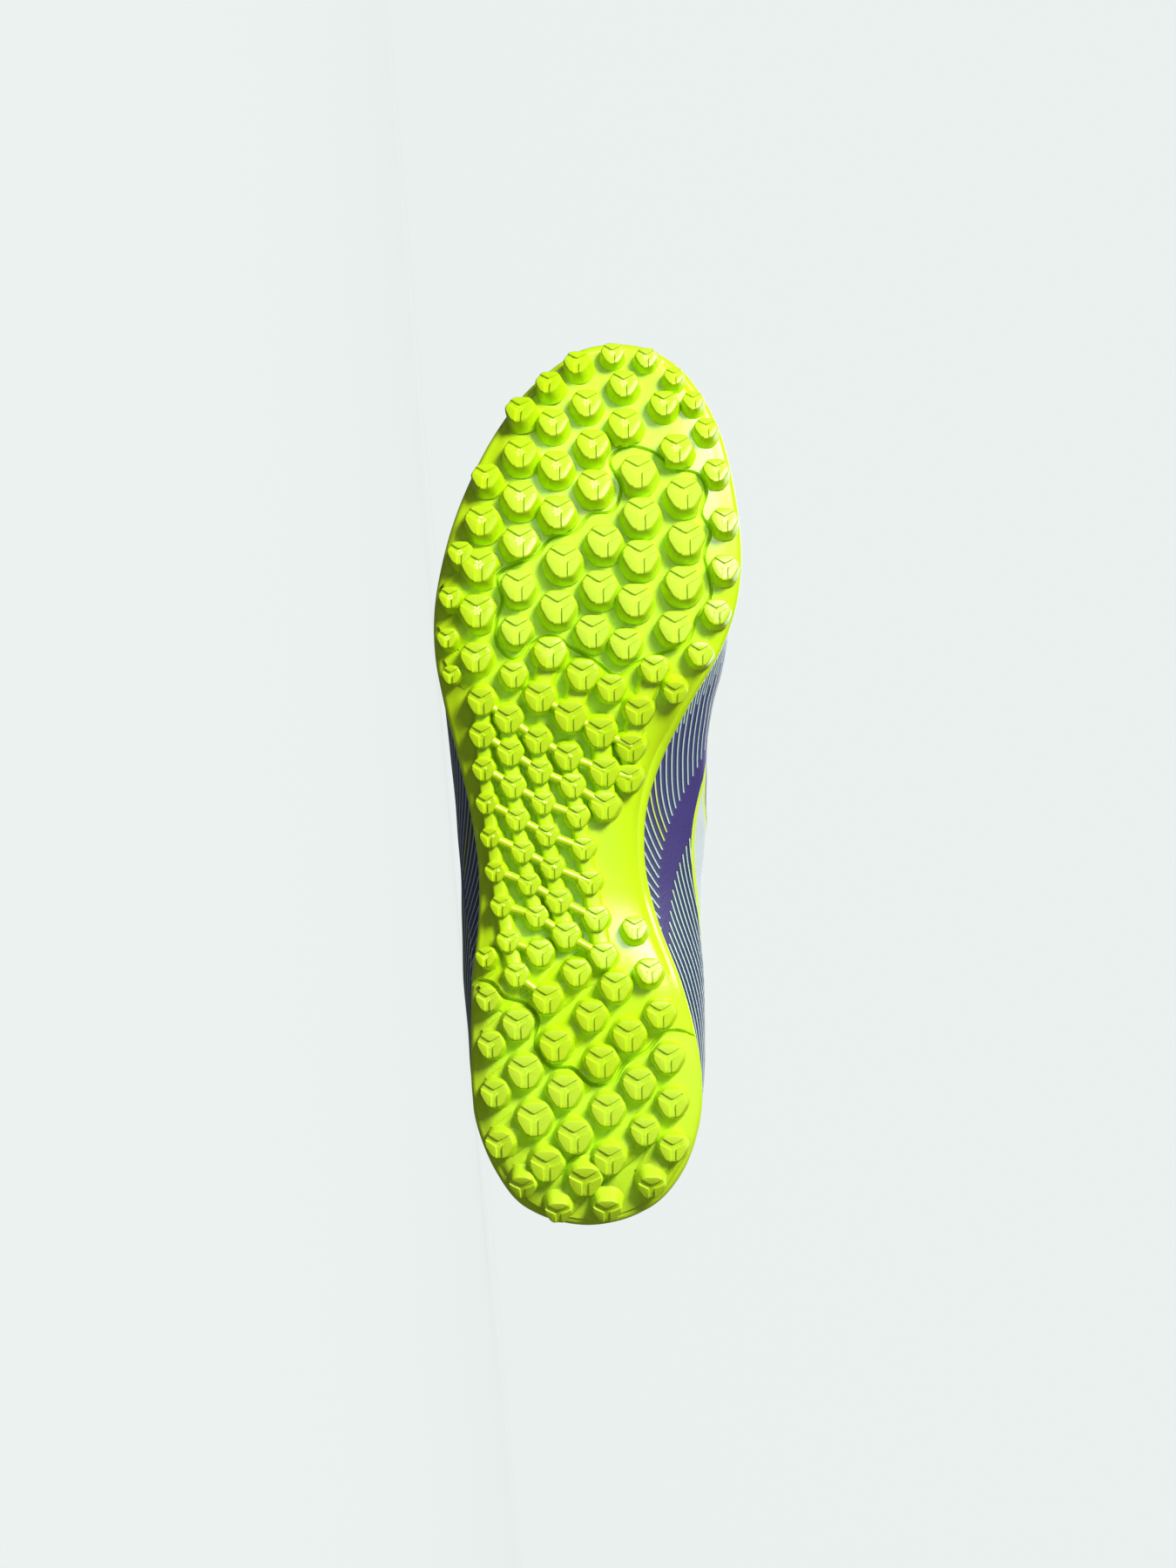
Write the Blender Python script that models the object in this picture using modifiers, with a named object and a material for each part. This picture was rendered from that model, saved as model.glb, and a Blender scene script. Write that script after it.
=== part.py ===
"""Turf shoe for the right foot, lying on its lateral side. Blender 4.5, metres, +Z up.

The shoe is modelled in its own frame: X runs from heel to toe, Y towards the medial side and
Z from the ground that the lugs would stand on. The last section lays the whole shoe down.
"""

import math
from functools import lru_cache

import bmesh
import bpy
import numpy as np
from mathutils import Matrix, Vector, geometry

# Sole
LENGTH = 0.281
BALL_WIDTH = 0.0975
WAIST_WIDTH = 0.054
HEEL_WIDTH = 0.0735
BALL_THICKNESS = 0.0055
HEEL_THICKNESS = 0.0095
RIM_HEIGHT = 0.0038
RIM_WIDTH = 0.0022
EDGE_ROUND = 0.0022
SIDE_STEP = 0.0008
TOE_SPRING = 0.014
HEEL_RISE = 0.0045
ARCH_RISE = 0.0025
ARCH_FLARE = 0.0055
EDGE_ROLL = 0.0022

# Lugs
LUG_WIDTH = 0.0127
LUG_HEIGHT = 0.0056
LUG_ROOT = 0.0012
LUG_FLARE = 1.10
LUG_TAPER = 0.74
LUG_SKEW = math.radians(6)

# Upper
INSTEP_HEIGHT = 0.073
WALL = 0.0018
EYELET_RADIUS = 0.0019
EYELET_PAIRS = 6
EYELET_MARGIN = 0.008

# Tongue, insole and lacing
TONGUE_THICKNESS = 0.0032
TONGUE_WIDTH = 0.050
TONGUE_TUCK = 0.60
TONGUE_RISE = 0.017
TONGUE_LEAN = math.radians(48)
INSOLE_THICKNESS = 0.004
LACE_WIDTH = 0.0058
LACE_THICKNESS = 0.0014
LACE_LIFT = 0.0009
LACE_STEPS = 8

GAP = 0.0003

# Plan of the sole: station along the length, width that the section follows, and the shares
# of that width on the lateral and on the medial side of the shoe's line.
OUTLINE = [
    (0.020, HEEL_WIDTH, 0.267, 0.275),
    (0.060, HEEL_WIDTH, 0.392, 0.412),
    (0.118, HEEL_WIDTH, 0.480, 0.488),
    (0.165, HEEL_WIDTH, 0.500, 0.497),
    (0.215, HEEL_WIDTH, 0.502, 0.470),
    (0.275, HEEL_WIDTH, 0.497, 0.408),
    (0.345, WAIST_WIDTH, 0.640, 0.418),
    (0.405, WAIST_WIDTH, 0.640, 0.346),
    (0.470, WAIST_WIDTH, 0.690, 0.352),
    (0.530, WAIST_WIDTH, 0.762, 0.450),
    (0.590, BALL_WIDTH, 0.466, 0.338),
    (0.645, BALL_WIDTH, 0.495, 0.430),
    (0.695, BALL_WIDTH, 0.497, 0.483),
    (0.745, BALL_WIDTH, 0.474, 0.503),
    (0.795, BALL_WIDTH, 0.435, 0.496),
    (0.845, BALL_WIDTH, 0.378, 0.474),
    (0.895, BALL_WIDTH, 0.303, 0.438),
    (0.942, BALL_WIDTH, 0.206, 0.373),
    (0.974, BALL_WIDTH, 0.106, 0.298),
    (0.993, BALL_WIDTH, 0.018, 0.208),
]
HEEL_POINT = 0.003
TOE_POINT = 0.098

# Lanes of lugs, each curved through three of its places: how many lugs, then for each place
# its station, its offset as a share of BALL_WIDTH, and the lug's size as a share of LUG_WIDTH.
LANES = [
    (4, (0.760, -0.414, 0.72), (0.686, -0.453, 0.63), (0.622, -0.442, 0.54)),
    (5, (0.847, -0.331, 0.83), (0.746, -0.351, 1.04), (0.642, -0.360, 0.91)),
    (9, (0.592, -0.343, 0.78), (0.439, -0.317, 0.54), (0.285, -0.229, 0.72)),
    (7, (0.924, -0.221, 0.87), (0.773, -0.218, 1.02), (0.622, -0.238, 0.78)),
    (7, (0.572, -0.255, 0.76), (0.460, -0.227, 0.63), (0.351, -0.164, 0.61)),
    (6, (0.310, -0.153, 0.78), (0.180, -0.088, 0.98), (0.052, -0.006, 0.98)),
    (8, (0.953, -0.133, 0.76), (0.774, -0.079, 1.04), (0.597, -0.153, 0.87)),
    (7, (0.548, -0.159, 0.72), (0.442, -0.130, 0.61), (0.330, -0.068, 0.76)),
    (6, (0.288, -0.034, 0.83), (0.160, 0.059, 0.98), (0.018, 0.065, 0.83)),
    (9, (0.981, -0.031, 0.76), (0.770, 0.045, 1.02), (0.575, -0.054, 0.87)),
    (7, (0.530, -0.062, 0.74), (0.427, -0.011, 0.63), (0.307, 0.054, 0.78)),
    (4, (0.272, 0.093, 0.91), (0.189, 0.153, 1.00), (0.109, 0.187, 0.98)),
    (9, (0.991, 0.079, 0.70), (0.803, 0.181, 1.04), (0.607, 0.079, 0.83)),
    (3, (0.557, 0.045, 0.83), (0.513, 0.057, 0.80), (0.475, 0.059, 0.78)),
    (7, (0.983, 0.193, 0.63), (0.827, 0.314, 1.02), (0.676, 0.286, 0.98)),
    (4, (0.629, 0.218, 0.83), (0.559, 0.153, 0.78), (0.505, 0.136, 0.74)),
    (9, (0.965, 0.278, 0.61), (0.808, 0.442, 0.87), (0.614, 0.289, 0.74)),
    (5, (0.305, -0.331, 0.59), (0.206, -0.314, 0.78), (0.094, -0.286, 0.83)),
    (2, (0.045, -0.210, 0.78), (0.030, -0.153, 0.78), (0.016, -0.093, 0.78)),
    (4, (0.229, -0.224, 0.91), (0.150, -0.187, 1.02), (0.070, -0.130, 0.98)),
    (7, (0.338, 0.159, 0.72), (0.198, 0.289, 1.00), (0.045, 0.210, 0.98)),
]

# Sections of the upper, by station. Its widest line stands off the sole's outline by FLARE on
# each side (shares of BALL_WIDTH), WIDE_UP above the footbed. Its top edge is TOP_UP above the
# footbed (both shares of INSTEP_HEIGHT), at OPEN each side of the RIDGE line, and SHIFT
# forwards (shares of BALL_WIDTH). TURN is how much of the quarter turn to the top is there.
STATION, FLARE_LATERAL, FLARE_MEDIAL, WIDE_UP, TOP_UP, OPEN, RIDGE, SHIFT, TURN = range(9)
UPPER = [
    (0.000, -0.022, -0.022, 0.24, 0.72, 0.040, 0.003, 0.075, 0.55),
    (0.030, -0.016, -0.014, 0.24, 0.71, 0.165, 0.002, 0.052, 0.55),
    (0.080, -0.006, -0.004, 0.24, 0.67, 0.250, 0.000, 0.028, 0.55),
    (0.150, 0.006, 0.012, 0.24, 0.59, 0.290, 0.000, 0.010, 0.55),
    (0.210, 0.016, 0.040, 0.24, 0.56, 0.300, 0.000, 0.000, 0.52),
    (0.280, 0.040, 0.096, 0.26, 0.60, 0.290, 0.000, 0.000, 0.54),
    (0.340, 0.062, 0.158, 0.28, 0.72, 0.285, 0.001, 0.000, 0.60),
    (0.390, 0.066, 0.192, 0.29, 0.86, 0.258, 0.003, 0.000, 0.68),
    (0.435, 0.064, 0.206, 0.30, 0.94, 0.222, 0.006, 0.000, 0.75),
    (0.475, 0.052, 0.204, 0.30, 0.935, 0.192, 0.009, 0.000, 0.79),
    (0.530, 0.032, 0.165, 0.29, 0.86, 0.166, 0.014, 0.000, 0.83),
    (0.590, 0.006, 0.090, 0.27, 0.755, 0.140, 0.022, 0.000, 0.86),
    (0.645, -0.010, 0.034, 0.25, 0.665, 0.112, 0.030, 0.000, 0.90),
    (0.690, -0.016, -0.004, 0.23, 0.60, 0.082, 0.036, 0.000, 0.94),
    (0.725, -0.020, -0.016, 0.22, 0.555, 0.065, 0.041, 0.000, 1.00),
    (0.780, -0.022, -0.020, 0.20, 0.50, 0.000, 0.050, 0.000, 1.00),
    (0.840, -0.022, -0.020, 0.18, 0.44, 0.000, 0.062, 0.000, 1.00),
    (0.900, -0.022, -0.020, 0.16, 0.37, 0.000, 0.076, 0.000, 1.00),
    (0.950, -0.022, -0.020, 0.14, 0.29, 0.000, 0.088, 0.000, 1.00),
    (0.985, -0.022, -0.020, 0.12, 0.20, 0.000, 0.096, 0.000, 1.00),
    (1.000, -0.022, -0.020, 0.10, 0.13, 0.000, 0.098, 0.000, 1.00),
]
THROAT_TOP = 0.440
THROAT_FRONT = 0.705
THROAT_ROUND = 0.035

COLLECTION = "turf_shoe"
LATERAL, MEDIAL = -1, 1


def ease(start, end, value):
    """0 before start and 1 after end, with a soft step between them."""
    share = min(1.0, max(0.0, (value - start) / (end - start)))
    return share * share * (3 - 2 * share)


def smooth_loop(points, steps):
    """A closed centripetal Catmull-Rom curve through the points."""
    points = [np.array(point) for point in points]
    count = len(points)
    line = []
    for i in range(count):
        a, b, c, d = (points[(i + k) % count] for k in (-1, 0, 1, 2))
        t1 = np.linalg.norm(b - a) ** 0.5
        t2 = t1 + np.linalg.norm(c - b) ** 0.5
        t3 = t2 + np.linalg.norm(d - c) ** 0.5
        for t in np.linspace(t1, t2, steps, endpoint=False):
            ab = a + (b - a) * t / t1
            bc = b + (c - b) * (t - t1) / (t2 - t1)
            cd = c + (d - c) * (t - t2) / (t3 - t2)
            abc = ab + (bc - ab) * t / t2
            bcd = bc + (cd - bc) * (t - t1) / (t3 - t1)
            line.append(abc + (bcd - abc) * (t - t1) / (t2 - t1))
    return np.array(line)


@lru_cache(maxsize=None)
def outline(inset):
    """The sole's plan moved inwards by inset, as one line from heel to toe for each side."""
    lateral = [(row[0] * LENGTH, -row[1] * row[2]) for row in OUTLINE]
    medial = [(row[0] * LENGTH, row[1] * row[3]) for row in OUTLINE]
    heel = (0.0, HEEL_POINT * BALL_WIDTH)
    toe = (LENGTH, TOE_POINT * BALL_WIDTH)
    steps = 12
    loop = smooth_loop([heel, *lateral, toe, *reversed(medial)], steps)
    along = np.roll(loop, -1, axis=0) - np.roll(loop, 1, axis=0)
    along /= np.linalg.norm(along, axis=1)[:, None]
    loop += inset * np.column_stack([-along[:, 1], along[:, 0]])
    turn = steps * (len(OUTLINE) + 1)
    return loop[: turn + 1], np.vstack([loop[turn:], loop[:1]])[::-1]


def edge(side, x, inset=0.0):
    """Where one side of the plan lies at x."""
    line = outline(inset)[0 if side == LATERAL else 1]
    return float(np.interp(x, line[:, 0], line[:, 1]))


def column(share, name):
    """A column of UPPER at any station, on a smooth curve through its rows."""
    last = len(UPPER) - 1
    i = min(last - 1, max(0, sum(row[STATION] <= share for row in UPPER) - 1))
    at = [UPPER[min(last, max(0, i + k))][STATION] for k in (-1, 0, 1, 2)]
    value = [UPPER[min(last, max(0, i + k))][name] for k in (-1, 0, 1, 2)]
    span = at[2] - at[1]
    leave = (value[2] - value[0]) / (at[2] - at[0]) * span
    arrive = (value[3] - value[1]) / (at[3] - at[1]) * span
    t = (share - at[1]) / span
    return (
        value[1] * (2 * t**3 - 3 * t**2 + 1)
        + leave * (t**3 - 2 * t**2 + t)
        + value[2] * (3 * t**2 - 2 * t**3)
        + arrive * (t**3 - t**2)
    )


def sole_bottom(x, y):
    """Height of the sole's underside between its lugs."""
    share = x / LENGTH
    toe = max(0.0, (share - 0.70) / 0.30)
    heel = max(0.0, (0.12 - share) / 0.12)
    waist = ease(0.26, 0.38, share) * (1 - ease(0.50, 0.64, share))
    inside = min(LENGTH * 0.999, max(LENGTH * 0.001, x))
    lateral, medial = edge(LATERAL, inside), edge(MEDIAL, inside)
    across = min(1.0, max(-1.0, (2 * y - lateral - medial) / (medial - lateral)))
    roll = EDGE_ROLL * (max(0.0, abs(across) - 0.6) / 0.4) ** 2
    arch = waist * (ARCH_RISE + ARCH_FLARE * max(0.0, across) ** 2)
    return LUG_HEIGHT + TOE_SPRING * toe**2 + HEEL_RISE * heel**2 + roll + arch


def footbed(x):
    """Height of the sole's inner floor."""
    line = 0.5 * (edge(LATERAL, x) + edge(MEDIAL, x)) if 0 < x < LENGTH else 0.0
    thickness = HEEL_THICKNESS + (BALL_THICKNESS - HEEL_THICKNESS) * ease(0.30, 0.62, x / LENGTH)
    return sole_bottom(x, line) + thickness


def new_object(name, mesh, material):
    obj = bpy.data.objects.new(name, mesh)
    collections[COLLECTION].objects.link(obj)
    mesh.materials.append(material)
    return obj


def make_helper(obj):
    """Moves a cutter or an adder out of the shoe's own pieces."""
    collections[COLLECTION].objects.unlink(obj)
    collections["cutters"].objects.link(obj)
    obj.hide_render = True
    obj.display_type = "WIRE"
    return obj


def material(name, colour, roughness):
    made = bpy.data.materials.new(name)
    made.use_nodes = True
    surface = made.node_tree.nodes["Principled BSDF"]
    surface.inputs["Base Color"].default_value = (*colour, 1)
    surface.inputs["Roughness"].default_value = roughness
    surface.inputs["Metallic"].default_value = 0
    return made


def loft(name, sections, finish):
    """A closed solid through rings of points, with a flat cap on its first and last ring."""
    bm = bmesh.new()
    rings = [[bm.verts.new(point) for point in section] for section in sections]
    for near, far in zip(rings, rings[1:]):
        for i in range(len(near)):
            j = (i + 1) % len(near)
            bm.faces.new((near[i], near[j], far[j], far[i]))
    bm.faces.new(rings[0])
    bm.faces.new(rings[-1])
    bmesh.ops.recalc_face_normals(bm, faces=bm.faces)
    mesh = bpy.data.meshes.new(name)
    bm.to_mesh(mesh)
    bm.free()
    mesh.shade_smooth()
    mesh.set_sharp_from_angle(angle=math.radians(35))
    return new_object(name, mesh, finish)


def boolean(obj, other, operation):
    change = obj.modifiers.new(operation.lower(), "BOOLEAN")
    change.operation = operation
    change.object = other
    change.solver = "EXACT"
    change.use_self = operation == "UNION"


def stations(count, inset):
    """X places from heel to toe, closer together towards both ends."""
    ends = 0.0006
    for i in range(count):
        share = 0.5 - 0.5 * math.cos(math.pi * i / (count - 1))
        yield inset + ends + share * (LENGTH - 2 * inset - 2 * ends)


def slab(name, inset, low, high, finish, count):
    """A sheet with the sole's plan, between the heights low(x) and high(x)."""
    sections = []
    for x in stations(count, inset):
        lateral, medial = edge(LATERAL, x, inset), edge(MEDIAL, x, inset)
        bottom = [(x, lateral, low(x)), (x, medial, low(x))]
        sections.append(bottom + [(x, medial, high(x)), (x, lateral, high(x))])
    return loft(name, sections, finish)


def sole_section(x):
    """The sole's outer form at x: underside, rounded edge, side with its step, and rim."""
    lateral, medial = edge(LATERAL, x), edge(MEDIAL, x)
    middle, half = 0.5 * (lateral + medial), 0.5 * (medial - lateral)
    flat = max(half * 0.5, half - EDGE_ROUND)
    under = [middle + flat * share for share in (-1, -0.8, -0.5, 0, 0.5, 0.8, 1)]
    section = [(x, y, sole_bottom(x, y)) for y in under]
    rim = footbed(x) + RIM_HEIGHT
    for side, y in ((MEDIAL, medial), (LATERAL, lateral)):
        foot = sole_bottom(x, y) + EDGE_ROUND
        step = foot + 0.55 * (rim - foot)
        inner = y - side * min(SIDE_STEP, half * 0.2)
        wall = [(x, y, foot), (x, y, step), (x, inner, step + SIDE_STEP), (x, inner, rim)]
        section += wall if side == MEDIAL else wall[::-1]
    return section


def lug_places():
    """Tip centre and size of every lug."""
    for count, first, middle, last in LANES:
        for i in range(count):
            t = i / (count - 1)
            weights = ((1 - t) * (1 - 2 * t), 4 * t * (1 - t), t * (2 * t - 1))
            station, offset, size = (
                sum(w * p[k] for w, p in zip(weights, (first, middle, last))) for k in range(3)
            )
            yield station * LENGTH, offset * BALL_WIDTH, size * LUG_WIDTH


def lug_axis(x, y):
    """The way a lug points: straight out of the underside."""
    reach = 0.002
    along = Vector((2 * reach, 0, sole_bottom(x + reach, y) - sole_bottom(x - reach, y)))
    across = Vector((0, 2 * reach, sole_bottom(x, y + reach) - sole_bottom(x, y - reach)))
    return -along.cross(across).normalized()


def add_lug(bm, x, y, width):
    """One six-sided stud with its tip over x, y, its long and short sides taking turns."""
    height = LUG_HEIGHT * min(1.0, 0.62 + 0.42 * width / LUG_WIDTH)
    depth = height + LUG_ROOT
    axis = lug_axis(x, y)
    foot_x, foot_y = x - axis.x * height, y - axis.y * height
    tip = Vector((foot_x, foot_y, sole_bottom(foot_x, foot_y))) + axis * height
    made = bmesh.ops.create_cone(
        bm,
        segments=6,
        cap_ends=True,
        radius1=width / 2 * LUG_FLARE,
        radius2=width / 2 * LUG_TAPER,
        depth=depth,
        matrix=Matrix.Translation((0, 0, -depth / 2)),
    )
    for i, vert in enumerate(sorted(made["verts"], key=lambda v: math.atan2(v.co.y, v.co.x))):
        skew = LUG_SKEW if (i // 2) % 2 else -LUG_SKEW
        vert.co.rotate(Matrix.Rotation(skew, 3, "Z"))
    turn = Vector((0, 0, 1)).rotation_difference(axis).to_matrix().to_4x4()
    place = Matrix.Translation(tip) @ turn @ Matrix.Rotation(math.pi / 6, 4, "Z")
    bmesh.ops.transform(bm, matrix=place, verts=made["verts"])


def make_lugs(finish):
    """All lugs in one mesh."""
    bm = bmesh.new()
    for x, y, width in lug_places():
        add_lug(bm, x, y, width)
    mesh = bpy.data.meshes.new("lugs")
    bm.to_mesh(mesh)
    bm.free()
    return make_helper(new_object("lugs", mesh, finish))


def make_outsole(finish):
    sole = loft("outsole", [sole_section(x) for x in stations(36, 0.0)], finish)
    well = slab("well", RIM_WIDTH, footbed, lambda x: footbed(x) + 4 * RIM_HEIGHT, finish, 60)
    boolean(sole, make_helper(well), "DIFFERENCE")
    boolean(sole, make_lugs(finish), "UNION")
    return sole


def upper_rib(share, side, rows=8):
    """One side of one section of the upper's outer face, from the footbed to the top edge."""
    inset = RIM_WIDTH + 2 * GAP
    ends = 0.0012
    x = inset + ends + share * (LENGTH - 2 * inset - 2 * ends)
    y = edge(side, x, inset)
    out = Vector((edge_slope(side, x, inset), side)).normalized()
    low = footbed(x) + GAP
    rim = footbed(x) + RIM_HEIGHT + 3 * GAP
    flare = column(share, FLARE_LATERAL if side == LATERAL else FLARE_MEDIAL)
    wide_z = footbed(x) + column(share, WIDE_UP) * INSTEP_HEIGHT
    wide = Vector((x, y)) + out * (inset + flare * BALL_WIDTH)
    ahead = min(1.0, max(0.0, (THROAT_FRONT - share) / THROAT_ROUND))
    opening = column(share, OPEN) * math.sqrt(ahead * (2 - ahead))
    top = Vector((x + column(share, SHIFT) * BALL_WIDTH, column(share, RIDGE) * BALL_WIDTH))
    top.y += side * opening * BALL_WIDTH
    top_z = footbed(x) + column(share, TOP_UP) * INSTEP_HEIGHT
    turn = min(1.0, column(share, TURN)) * math.pi / 2
    rib = [Vector((x, y, low)), Vector((x, y, rim))]
    for i in range(1, 4):
        t = i / 3
        plan = Vector((x, y)).lerp(wide, math.sin(t * math.pi / 2))
        rib.append(Vector((*plan, rim + (wide_z - rim) * t)))
    for i in range(1, rows):
        angle = turn * i / (rows - 1)
        plan = wide.lerp(top, (1 - math.cos(angle)) / (1 - math.cos(turn)))
        rib.append(Vector((*plan, wide_z + (top_z - wide_z) * math.sin(angle) / math.sin(turn))))
    return rib


def edge_slope(side, x, inset):
    """How far the outward direction leans along the shoe for each unit across it."""
    reach = 0.0008
    near, far = max(inset, x - reach), min(LENGTH - inset, x + reach)
    slope = (edge(side, far, inset) - edge(side, near, inset)) / (far - near)
    return -side * slope


def upper_shares():
    """Stations of the upper's sections: closer at both ends and where the throat begins."""
    count = 29
    even = [i / (count - 1) for i in range(count)]
    shares = [share - 0.0875 * math.sin(2 * math.pi * share) for share in even]
    round_end = [THROAT_FRONT - THROAT_ROUND * step for step in (1.0, 0.45, 0.12, 0.0)]
    clear = [s for s in shares if min(abs(s - r) for r in round_end) > 0.006]
    return sorted(clear + round_end)


def make_upper(finish):
    """The hollow upper: an outer face with its wall inside, open at collar, throat and foot."""
    bm = bmesh.new()
    ribs = []
    for share in upper_shares():
        ribs.append([[bm.verts.new(p) for p in upper_rib(share, side)] for side in (LATERAL, MEDIAL)])
    for near, far in zip(ribs, ribs[1:]):
        for low, high in zip(range(len(near[0])), range(1, len(near[0]))):
            bm.faces.new((near[0][low], far[0][low], far[0][high], near[0][high]))
            bm.faces.new((near[1][low], near[1][high], far[1][high], far[1][low]))
    for end in (ribs[0], ribs[-1]):
        for low, high in zip(range(len(end[0])), range(1, len(end[0]))):
            bm.faces.new((end[0][low], end[0][high], end[1][high], end[1][low]))
    bmesh.ops.remove_doubles(bm, verts=bm.verts, dist=1e-5)
    bmesh.ops.recalc_face_normals(bm, faces=bm.faces)
    side_face = max(bm.faces, key=lambda f: f.calc_center_median().y)
    if side_face.normal.y < 0:
        bmesh.ops.reverse_faces(bm, faces=bm.faces)
    mesh = bpy.data.meshes.new("upper")
    bm.to_mesh(mesh)
    bm.free()
    mesh.shade_smooth()
    upper = new_object("upper", mesh, finish)
    shell = upper.modifiers.new("wall", "SOLIDIFY")
    shell.thickness = WALL
    shell.offset = -1
    shell.use_even_offset = True
    shell.use_rim = True
    return upper


@lru_cache(maxsize=None)
def section_line(share):
    """The last's top at a station, from the lateral widest line over the throat to the medial one."""
    lateral, medial = upper_rib(share, LATERAL)[4:], upper_rib(share, MEDIAL)[4:]
    line = list(lateral)
    if share < THROAT_FRONT:
        near, far = lateral[-1], medial[-1]
        rise = (lateral[-1].z - lateral[-2].z) / abs(lateral[-1].y - lateral[-2].y)
        crown = rise * abs(far.y - near.y) / 4
        for t in np.linspace(0, 1, 9)[1:-1]:
            line.append(near.lerp(far, t) + Vector((0, 0, crown * (1 - (2 * t - 1) ** 2))))
        line.append(far)
    line += medial[-2::-1]
    steps = [(b - a).length for a, b in zip(line, line[1:])]
    along = np.cumsum([0, *steps])
    open_edge = steps[len(lateral) - 1 : len(line) - len(medial)]
    middle = along[len(lateral) - 1] + sum(open_edge) / 2
    return line, along - middle, sum(open_edge) / 2


def on_last(share, across):
    """The point of the last's top at a station, across metres from its ridge along the skin."""
    line, along, _ = section_line(round(share, 6))
    return Vector([np.interp(across, along, [p[k] for p in line]) for k in range(3)])


def above_last(share, across, height):
    """The same point, lifted off the skin, with the way that the skin faces there."""
    reach = 0.012
    forward = on_last(share + reach, across) - on_last(share - reach, across)
    sideways = on_last(share, across + 0.002) - on_last(share, across - 0.002)
    normal = forward.cross(sideways).normalized()
    return on_last(share, across) + normal * height, normal


def sheet_of(name, rows, thickness, finish):
    """A bent sheet with a real thickness under the given rows of points."""
    bm = bmesh.new()
    verts = [[bm.verts.new(point) for point in row] for row in rows]
    for near, far in zip(verts, verts[1:]):
        for i in range(len(near) - 1):
            bm.faces.new((near[i], near[i + 1], far[i + 1], far[i]))
    bmesh.ops.recalc_face_normals(bm, faces=bm.faces)
    bm.faces.ensure_lookup_table()
    if bm.faces[0].normal.z < 0:
        bmesh.ops.reverse_faces(bm, faces=bm.faces)
    mesh = bpy.data.meshes.new(name)
    bm.to_mesh(mesh)
    bm.free()
    mesh.shade_smooth()
    sheet = new_object(name, mesh, finish)
    body = sheet.modifiers.new("thickness", "SOLIDIFY")
    body.thickness = thickness
    body.offset = -1
    body.use_even_offset = True
    return sheet


def make_tongue(finish):
    """The tongue: tucked under the eyestay, then a free end that stands above the throat."""
    depth = -(WALL + 2 * GAP)
    front, top = THROAT_FRONT + 0.035, THROAT_TOP + 0.012
    rows = []
    for t in np.linspace(0, 1, 11):
        share = front + (top - front) * t
        half = TONGUE_WIDTH / 2 * (TONGUE_TUCK + (1 - TONGUE_TUCK) * t)
        rows.append([above_last(share, across, depth)[0] for across in np.linspace(-half, half, 9)])
    rise = Vector((-math.cos(TONGUE_LEAN), 0, math.sin(TONGUE_LEAN))) * TONGUE_RISE
    seat = rows[-1]
    for t, narrow in ((0.3, 0.85), (0.75, 0.78), (1.0, 0.64)):
        spots = [point + rise * t for point in seat]
        for spot in spots:
            spot.y = seat[4].y + (spot.y - seat[4].y) * narrow
        rows.append(spots)
    return sheet_of("tongue", rows, TONGUE_THICKNESS, finish)


def eyelet(pair, side):
    """Station and distance from the ridge of one eyelet. Pair 0 is the front one."""
    front, top = THROAT_FRONT - 0.022, THROAT_TOP + 0.022
    share = front + (top - front) * pair / (EYELET_PAIRS - 1)
    return share, side * (section_line(round(share, 6))[2] + EYELET_MARGIN)


def punch_eyelets(upper, finish):
    """Round holes through the eyestay, square to it."""
    bm = bmesh.new()
    for pair in range(EYELET_PAIRS):
        for side in (LATERAL, MEDIAL):
            point, normal = above_last(*eyelet(pair, side), 0.0)
            turn = Vector((0, 0, 1)).rotation_difference(normal).to_matrix().to_4x4()
            bmesh.ops.create_cone(
                bm,
                segments=8,
                cap_ends=True,
                radius1=EYELET_RADIUS,
                radius2=EYELET_RADIUS,
                depth=4 * WALL,
                matrix=Matrix.Translation(point) @ turn,
            )
    mesh = bpy.data.meshes.new("punches")
    bm.to_mesh(mesh)
    bm.free()
    boolean(upper, make_helper(new_object("punches", mesh, finish)), "DIFFERENCE")


def lace_run(start, end, lift):
    """Rectangular sections of one flat run of lace, from one eyelet over the throat to another."""
    height = LACE_LIFT + LACE_THICKNESS / 2
    spots = []
    for t in np.linspace(0, 1, LACE_STEPS):
        share = start[0] + (end[0] - start[0]) * t
        across = start[1] + (end[1] - start[1]) * t
        spots.append(above_last(share, across, height + lift * math.sin(math.pi * t) ** 4))
    sections = []
    for i, (point, normal) in enumerate(spots):
        along = spots[min(LACE_STEPS - 1, i + 1)][0] - spots[max(0, i - 1)][0]
        wide = along.cross(normal).normalized() * LACE_WIDTH / 2
        thick = wide.cross(along).normalized() * LACE_THICKNESS / 2
        sections.append([point + wide + thick, point - wide + thick, point - wide - thick, point + wide - thick])
    return sections


def make_lacing(finish):
    """The crossed laces over the throat, as one solid that stops at the top eyelets."""
    lacing = loft("lacing", lace_run(eyelet(0, LATERAL), eyelet(0, MEDIAL), 0.0), finish)
    runs = []
    for pair in range(EYELET_PAIRS - 1):
        for side in (LATERAL, MEDIAL):
            over = LACE_THICKNESS * 0.6 if side == MEDIAL else 0.0
            sections = lace_run(eyelet(pair, side), eyelet(pair + 1, -side), over)
            runs.append(loft(f"run_{pair}_{side}", sections, finish))
    bm = bmesh.new()
    for run in runs:
        bm.from_mesh(run.data)
        bpy.data.objects.remove(run, do_unlink=True)
    mesh = bpy.data.meshes.new("lace_runs")
    bm.to_mesh(mesh)
    bm.free()
    boolean(lacing, make_helper(new_object("lace_runs", mesh, finish)), "UNION")
    return lacing


def make_insole(finish):
    inset = RIM_WIDTH + WALL + 4 * GAP
    return slab("insole", inset, lambda x: footbed(x) + GAP, lambda x: footbed(x) + GAP + INSOLE_THICKNESS, finish, 30)


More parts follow.
